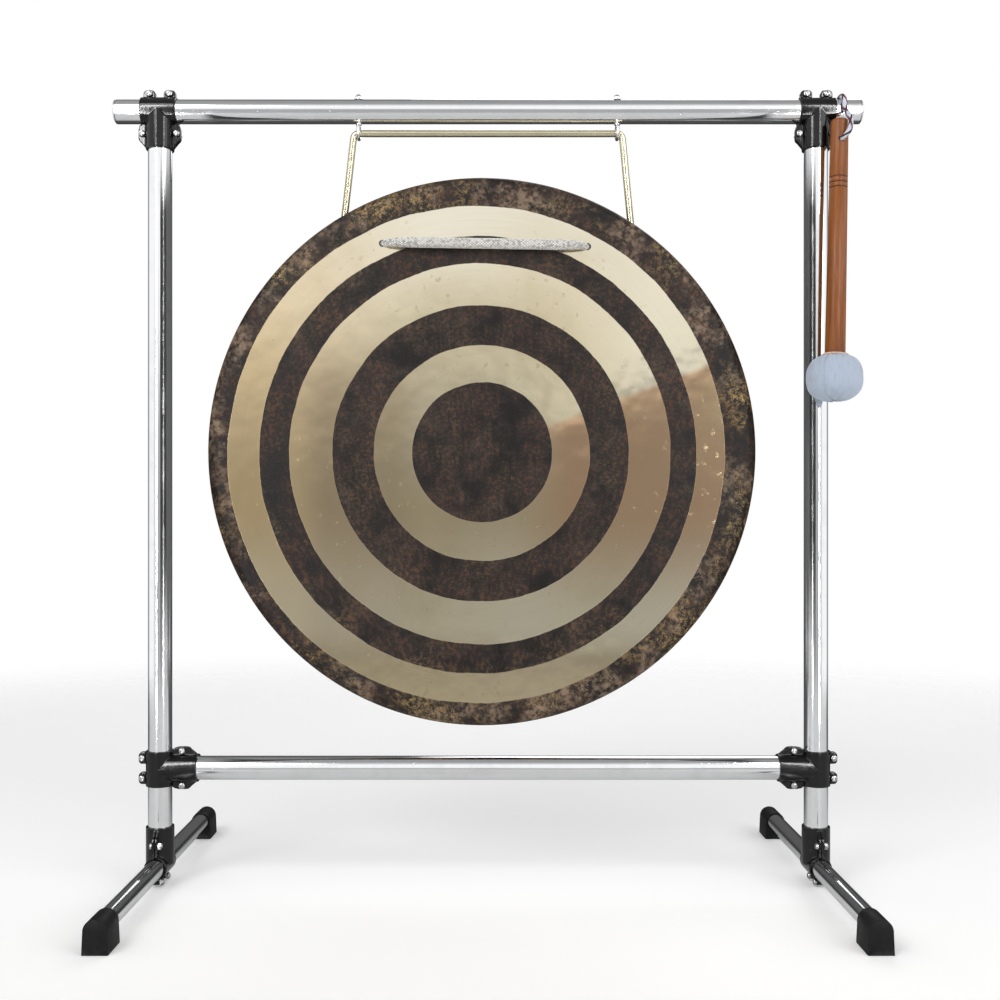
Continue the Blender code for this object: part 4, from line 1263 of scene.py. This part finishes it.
# Mallet

def mallet_frame():
    """Local +Z runs from the mallet's head up its handle, and the origin is the handle's top."""
    return along(MALLET_TOP - MALLET_HEAD, MALLET_TOP)


def handle():
    """A turned wooden handle with a rounded top, three grooves and a cord hole."""
    reach = (MALLET_TOP - MALLET_HEAD).length + HANDLE_INTO_HEAD
    profile = [(0, 0), (0.4 * (HANDLE_TOP_R - HANDLE_ROUND), -0.05 * MM)]
    for i in range(9):
        angle = math.pi / 2 * i / 8
        radius = HANDLE_TOP_R - HANDLE_ROUND * (1 - math.sin(angle))
        profile.append((radius, -HANDLE_ROUND * (1 - math.cos(angle))))
    for at in GROOVES_AT:
        radius = HANDLE_TOP_R + (HANDLE_END_R - HANDLE_TOP_R) * at / reach
        for across, deep in ((-1.25, 0), (-0.85, 0.25), (-0.35, 0.95), (0.35, 0.95), (0.85, 0.25), (1.25, 0)):
            profile.append((radius - deep * GROOVE_HALF, -at - across * GROOVE_HALF))
    profile += [(HANDLE_END_R, -reach + 1 * MM), (HANDLE_END_R - 1 * MM, -reach), (0, -reach)]
    mesh = turned("handle", profile, 72, sharp=50)
    place = mallet_frame()
    hole = MALLET_TOP + (MALLET_HEAD - MALLET_TOP).normalized() * CORD_HOLE_AT
    front = place.inverted() @ (hole + Vector((0, -30 * MM, 0)))
    back = place.inverted() @ (hole + Vector((0, 30 * MM, 0)))
    mesh = neat(shaped(mesh, ("DIFFERENCE", rod(CORD_HOLE_R, front, back, 40))), 50)
    obj = new_object("mallet_handle_look", mesh, WOOD, place)
    finished(obj, "mallet", "handle_wood", "mallet_handle")


def head_side(inset, mouth_r, count):
    """(radius, height) points from the mouth round the padded head to its lowest point."""
    centre = -(MALLET_TOP - MALLET_HEAD).length
    wide = HEAD_R - inset
    tall = HEAD_HALF_HEIGHT - inset
    first = math.asin((mouth_r / wide) ** 1.25)
    points = []
    for i in range(count + 1):
        angle = first + (math.pi - first) * i / count
        radius = wide * abs(math.sin(angle)) ** 0.8
        height = tall * math.copysign(abs(math.cos(angle)) ** 0.8, math.cos(angle))
        points.append((radius if i < count else 0, centre + height))
    return points


def puckered(radius, height, angle, share):
    """The cover's skin: gathers that fade from the mouth and from the pole, lumps, and two sewn seams."""
    mouth = max(0, 1 - share / 0.34) ** 1.4
    pole = max(0, (share - 0.74) / 0.26) ** 1.3
    gather = math.sin(23 * angle + 1.7 * math.sin(3 * angle)) * 0.75 * MM * mouth
    gather += math.sin(15 * angle + 2.1 * math.sin(2 * angle)) * 0.8 * MM * pole
    spot = Vector((math.cos(angle) * 1.6, math.sin(angle) * 1.6, height / HEAD_R))
    lumps = noise.noise(spot * 1.7) * 0.9 * MM + noise.noise(spot * 5.5) * 0.25 * MM
    seam = 0.0
    for at in HEAD_SEAMS:
        off = (angle - at + math.pi) % TURN - math.pi
        seam -= 0.8 * MM * math.exp(-((off * radius / (1.3 * MM)) ** 2))
    inner = min(1, radius / (6 * MM))
    return gather + (lumps + seam) * inner - 0.2 * MM


def head_cover():
    """A sewn flannel cover gathered at the mouth, with its hem, seams and stitches."""
    place = mallet_frame()
    count = 72
    steps = 220
    outer = head_side(0, HEAD_MOUTH_R, count)
    inner = head_side(HEAD_COVER, HEAD_MOUTH_R, 24)
    rings = []
    for k, (radius, height) in enumerate(outer):
        if radius < TINY:
            rings.append([Vector((0, 0, height + 1.6 * MM))])
            continue
        centre = Vector((0, 0, -(MALLET_TOP - MALLET_HEAD).length))
        ring = []
        for i in range(steps):
            angle = TURN * i / steps
            point = Vector((radius * math.cos(angle), radius * math.sin(angle), height))
            out = (point - centre).normalized()
            ring.append(point + out * puckered(radius, height - centre.z, angle, k / count))
        rings.append(ring)
    rings.reverse()
    for radius, height in ((HEAD_MOUTH_R + 0.2 * MM, 0.35 * MM), (HEAD_MOUTH_R - 0.6 * MM, 0.1 * MM)):
        rings.append(ring_at(radius, outer[0][1] + height, steps))
    rings += [ring_at(radius, height, steps) for radius, height in inner]
    cover = new_object("mallet_head_cover_look", skin("cover", rings, sharp=80), FABRIC, place)
    finished(cover, "mallet", "head_fabric", "mallet_head_cover")
    stitches(place, outer, count)


def stitches(place, outer, count):
    """Short stitches across the two seams and round the gathered mouth, as one piece."""
    shape = bmesh.new()
    centre = Vector((0, 0, -(MALLET_TOP - MALLET_HEAD).length))

    def skin_point(k, angle, lift):
        low = max(0, min(count - 1, int(k)))
        share = k - low
        radius = outer[low][0] * (1 - share) + outer[low + 1][0] * share
        height = outer[low][1] * (1 - share) + outer[low + 1][1] * share
        point = Vector((radius * math.cos(angle), radius * math.sin(angle), height))
        out = (point - centre).normalized()
        return point + out * (puckered(radius, height - centre.z, angle, k / count) + lift)

    def stitch(points):
        made = swept("stitch", points, 8, lambda run, angle: THREAD_R)
        shape.from_mesh(made)
        bpy.data.meshes.remove(made)

    for at in HEAD_SEAMS:
        for i in range(24):
            k = 5 + 62 * i / 23
            radius = max(outer[int(k)][0], 6 * MM)
            half = 1.5 * MM / radius
            run = [(s, (0.25 - 0.45 * s * s) * MM) for s in (-1, -0.5, 0, 0.5, 1)]
            stitch([skin_point(k + 0.5 * s, at + half * s, lift) for s, lift in run])
    for i in range(30):
        angle = TURN * i / 30
        run = [(s, (0.3 - 0.5 * (2 * s - 1) ** 2) * MM) for s in (0, 0.25, 0.5, 0.75, 1)]
        stitch([skin_point(1.5 + 2.4 * s, angle + 0.02 * s, lift) for s, lift in run])
    mesh = bpy.data.meshes.new("stitches")
    shape.to_mesh(mesh)
    shape.free()
    mesh.shade_smooth()
    obj = new_object("mallet_head_stitches", mesh, THREAD, place)
    finished(obj, "mallet", "head_fabric")


def felt_core():
    """The felt core, with a soft rolled collar that stands in the mouth round the handle."""
    centre = -(MALLET_TOP - MALLET_HEAD).length
    inset = HEAD_COVER + CORE_GAP
    bore = HANDLE_END_R + GAP
    floor = centre - HANDLE_INTO_HEAD - GAP
    side = head_side(inset, HEAD_MOUTH_R + 0.5 * MM, 24)
    top = head_side(0, HEAD_MOUTH_R, 24)[0][1]
    profile = [(0, floor), (bore, floor), (bore, top)]
    for i in range(9):
        angle = math.pi - math.pi * i / 8
        across = bore + 1.9 * MM + 1.9 * MM * math.cos(angle)
        profile.append((across, top + 0.3 * MM + 1.6 * MM * math.sin(angle)))
    profile += [(HEAD_MOUTH_R - 1.2 * MM, top - 2.5 * MM), *side]
    rings = []
    steps = 128
    for radius, height in profile:
        if radius < TINY:
            rings.append([Vector((0, 0, height))])
            continue
        ring = []
        for i in range(steps):
            angle = TURN * i / steps
            fuzz = noise.noise(Vector((math.cos(angle) * 9, math.sin(angle) * 9, height * 400))) * 0.3 * MM
            soft = fuzz if height > top else 0
            reach = radius + soft
            ring.append(Vector((reach * math.cos(angle), reach * math.sin(angle), height + soft)))
        rings.append(ring)
    core = new_object("mallet_core_look", skin("core", rings, sharp=60), FELT, mallet_frame())
    finished(core, "mallet", "head_felt", "mallet_core")


# Studio

LOW_WALL = 0.42
FLOOR_IN_REFLECTIONS = 0.66
FLOOR_BEHIND = 0.08
FLOOR_GLOW = 0.17
CARD_BOTTOM = 160 * MM
CARD_TOP = 915 * MM
CARD_FADE_IN = 0.26
CARD_FADE_OUT = 0.11
STRIP_WIDTH = 0.04
STRIP_HEIGHT = 1.7
STRIP_MIDDLE = 0.85


def add_world():
    """A white surround, darker behind the stand to outline the chrome. It is plain white to the eye."""
    world = bpy.data.worlds.new("studio")
    world.use_nodes = True
    SCENE.world = world
    room = Nodes(world.node_tree)
    x, y, z = room.axes(room.place("Generated"))
    # The room in front is darker low down, with a softer edge on the left than on the right
    soft = room.step(z, 0.02, 0.26, LOW_WALL, 1.0)
    slope = room.math("SUBTRACT", z, room.times(x, EDGE_SLOPE))
    crisp = room.step(slope, 0.055, 0.070, LOW_WALL, 1.0)
    front = room.node("Mix", {0: room.step(x, 0.0, 0.1), 2: soft, 3: crisp})
    aside = room.step(room.math("ABSOLUTE", x), 0.35, 0.85)
    front = room.node("Mix", {0: aside, 2: front, 3: 1.0})
    behind = room.step(y, 0.05, 0.85, 1.0, 0.10)
    shade = room.times(room.times(front, behind), room.step(z, 0.55, 0.95, 1.0, 0.34))
    seen = room.node("LightPath", {}, "Is Camera Ray")
    colour = room.node("Mix", {0: seen, 2: shade, 3: 1.0})
    room.feed(room.tree.nodes["Background"].inputs["Color"], colour)


def add_floor():
    """A pale floor that fades into the white surround. It glows a little, a painted light, and reflections
    see it darker, darkest behind the stand, a painted shade.
    """
    mesh = turned("floor", [(0, 0), (0.8, 0), (1.6, 0), (3.2, 0), (3.2, -0.01), (0, -0.01)], 96)
    mesh.transform(Matrix.Translation((0, 0, -0.0004)))
    look = Look("studio_floor", Roughness=0.75, Specular_IOR_Level=0.2)
    place = look.place()
    radius = look.node("VectorMath", {0: place}, "Value", operation="LENGTH")
    grain = look.noise(place, 260, 3)
    pale = look.mix(grain, (0.90, 0.90, 0.90), (0.94, 0.94, 0.94))
    # Painted shade: in reflections the floor is darker, and darker still behind the stand
    back = look.step(look.axes(place)[1], 0.0, 0.5)
    dim = look.mix(back, (FLOOR_IN_REFLECTIONS,) * 3, (FLOOR_BEHIND,) * 3)
    glossy = look.node("LightPath", {}, "Is Glossy Ray")
    look.set(Base_Color=look.mix(glossy, pale, dim))
    # Painted light: the floor glows to the eye and to diffuse rays, though it is no lamp
    look.set(Emission_Color=look.mix(glossy, (1.0, 1.0, 1.0), (0.0, 0.0, 0.0)), Emission_Strength=FLOOR_GLOW)
    look.set(Alpha=look.step(radius, 0.9, 2.6, 1.0, 0.0))
    floor = new_object("studio_floor", mesh, look.material)


def add_flag(name, start, end, tone):
    """A dark card that only reflections see."""
    mesh = bpy.data.meshes.new(name)
    low, high = CARD_BOTTOM, CARD_TOP
    corners = [(*start, low), (*end, low), (*end, high), (*start, high)]
    mesh.from_pydata(corners, [], [(0, 1, 2, 3)])
    look = Look("studio_card", Base_Color=(tone,) * 3, Roughness=1.0, Specular_IOR_Level=0.0)
    height = look.axes(look.place())[2]
    fade_in = look.step(height, low, low + CARD_FADE_IN)
    fade_out = look.step(height, high - CARD_FADE_OUT, high, 1.0, 0.0)
    look.set(Alpha=look.times(fade_in, fade_out))
    flag = new_object(name, mesh, look.material)
    for rays in ("camera", "diffuse", "shadow", "transmission", "volume_scatter"):
        setattr(flag, f"visible_{rays}", False)


def add_light(name, place, aim, size, power, height=None):
    """A round light, or an upright rectangle if it has a height."""
    data = bpy.data.lights.new(name, "AREA")
    data.shape = "RECTANGLE" if height else "DISK"
    data.size = size
    if height:
        data.size_y = height
    data.energy = power
    light = bpy.data.objects.new(name, data)
    SCENE.collection.objects.link(light)
    place = Vector(place)
    turn = (Vector(aim) - place).to_track_quat("-Z", "Y").to_matrix().to_4x4()
    light.matrix_world = Matrix.Translation(place) @ turn
    return light


def add_strip(name, x):
    """A tall narrow light in front, beside the stand, for the streak down tubes and clamps."""
    place = (x, -1.1, STRIP_MIDDLE)
    light = add_light(name, place, (0, 0, STRIP_MIDDLE), STRIP_WIDTH, 8, STRIP_HEIGHT)
    light.visible_camera = False
    light.visible_diffuse = False


def studio():
    SCENE.view_settings.view_transform = "Standard"
    add_world()
    add_floor()
    for side, sign in SIDES:
        outer = (sign * 358 * MM, -115 * MM)
        middle = (sign * 343 * MM, -19 * MM)
        inner = (sign * 352 * MM, 60 * MM)
        add_flag(f"{side}_card", outer, middle, 0.05)
        add_flag(f"{side}_inner_card", middle, inner, 0.16)
    add_strip("left_strip", -0.75)
    add_strip("right_strip", 0.75)
    add_light("key", (-1.4, -1.9, 2.3), (0, 0, 0.5), 1.4, 26)
    add_light("fill", (1.8, -1.5, 1.6), (0, 0, 0.4), 1.6, 12)
    add_light("rear", (0.6, 2.2, 2.4), (0, 0, 0.5), 1.8, 18)


CHROME_X = chrome("chrome_along_x", 0)
CHROME_Y = chrome("chrome_along_y", 1)
CHROME_Z = chrome("chrome_along_z", 2)
EYE_CHROME = chrome("chrome_small", 2, (0.92, 0.92, 0.93), 0.12)
CLAMP_BLACK = clamp_black()
ZINC = zinc()
RUBBER = rubber()
GONG_BRONZE = gong_bronze()
GOLD_CORD = gold_cord()
WHITE_CORD = white_cord()
FLECKED_CORD = flecked_cord()
WOOD = wood()
FABRIC = fabric()
FELT = felt()
THREAD = thread()

add_camera()
hanging_cord()
front_cord()
wrist_cord()
stand_tubes()
rail_plugs()
feet()
clamps()
eye_bolts()
gong_plate()
handle()
head_cover()
felt_core()
studio()
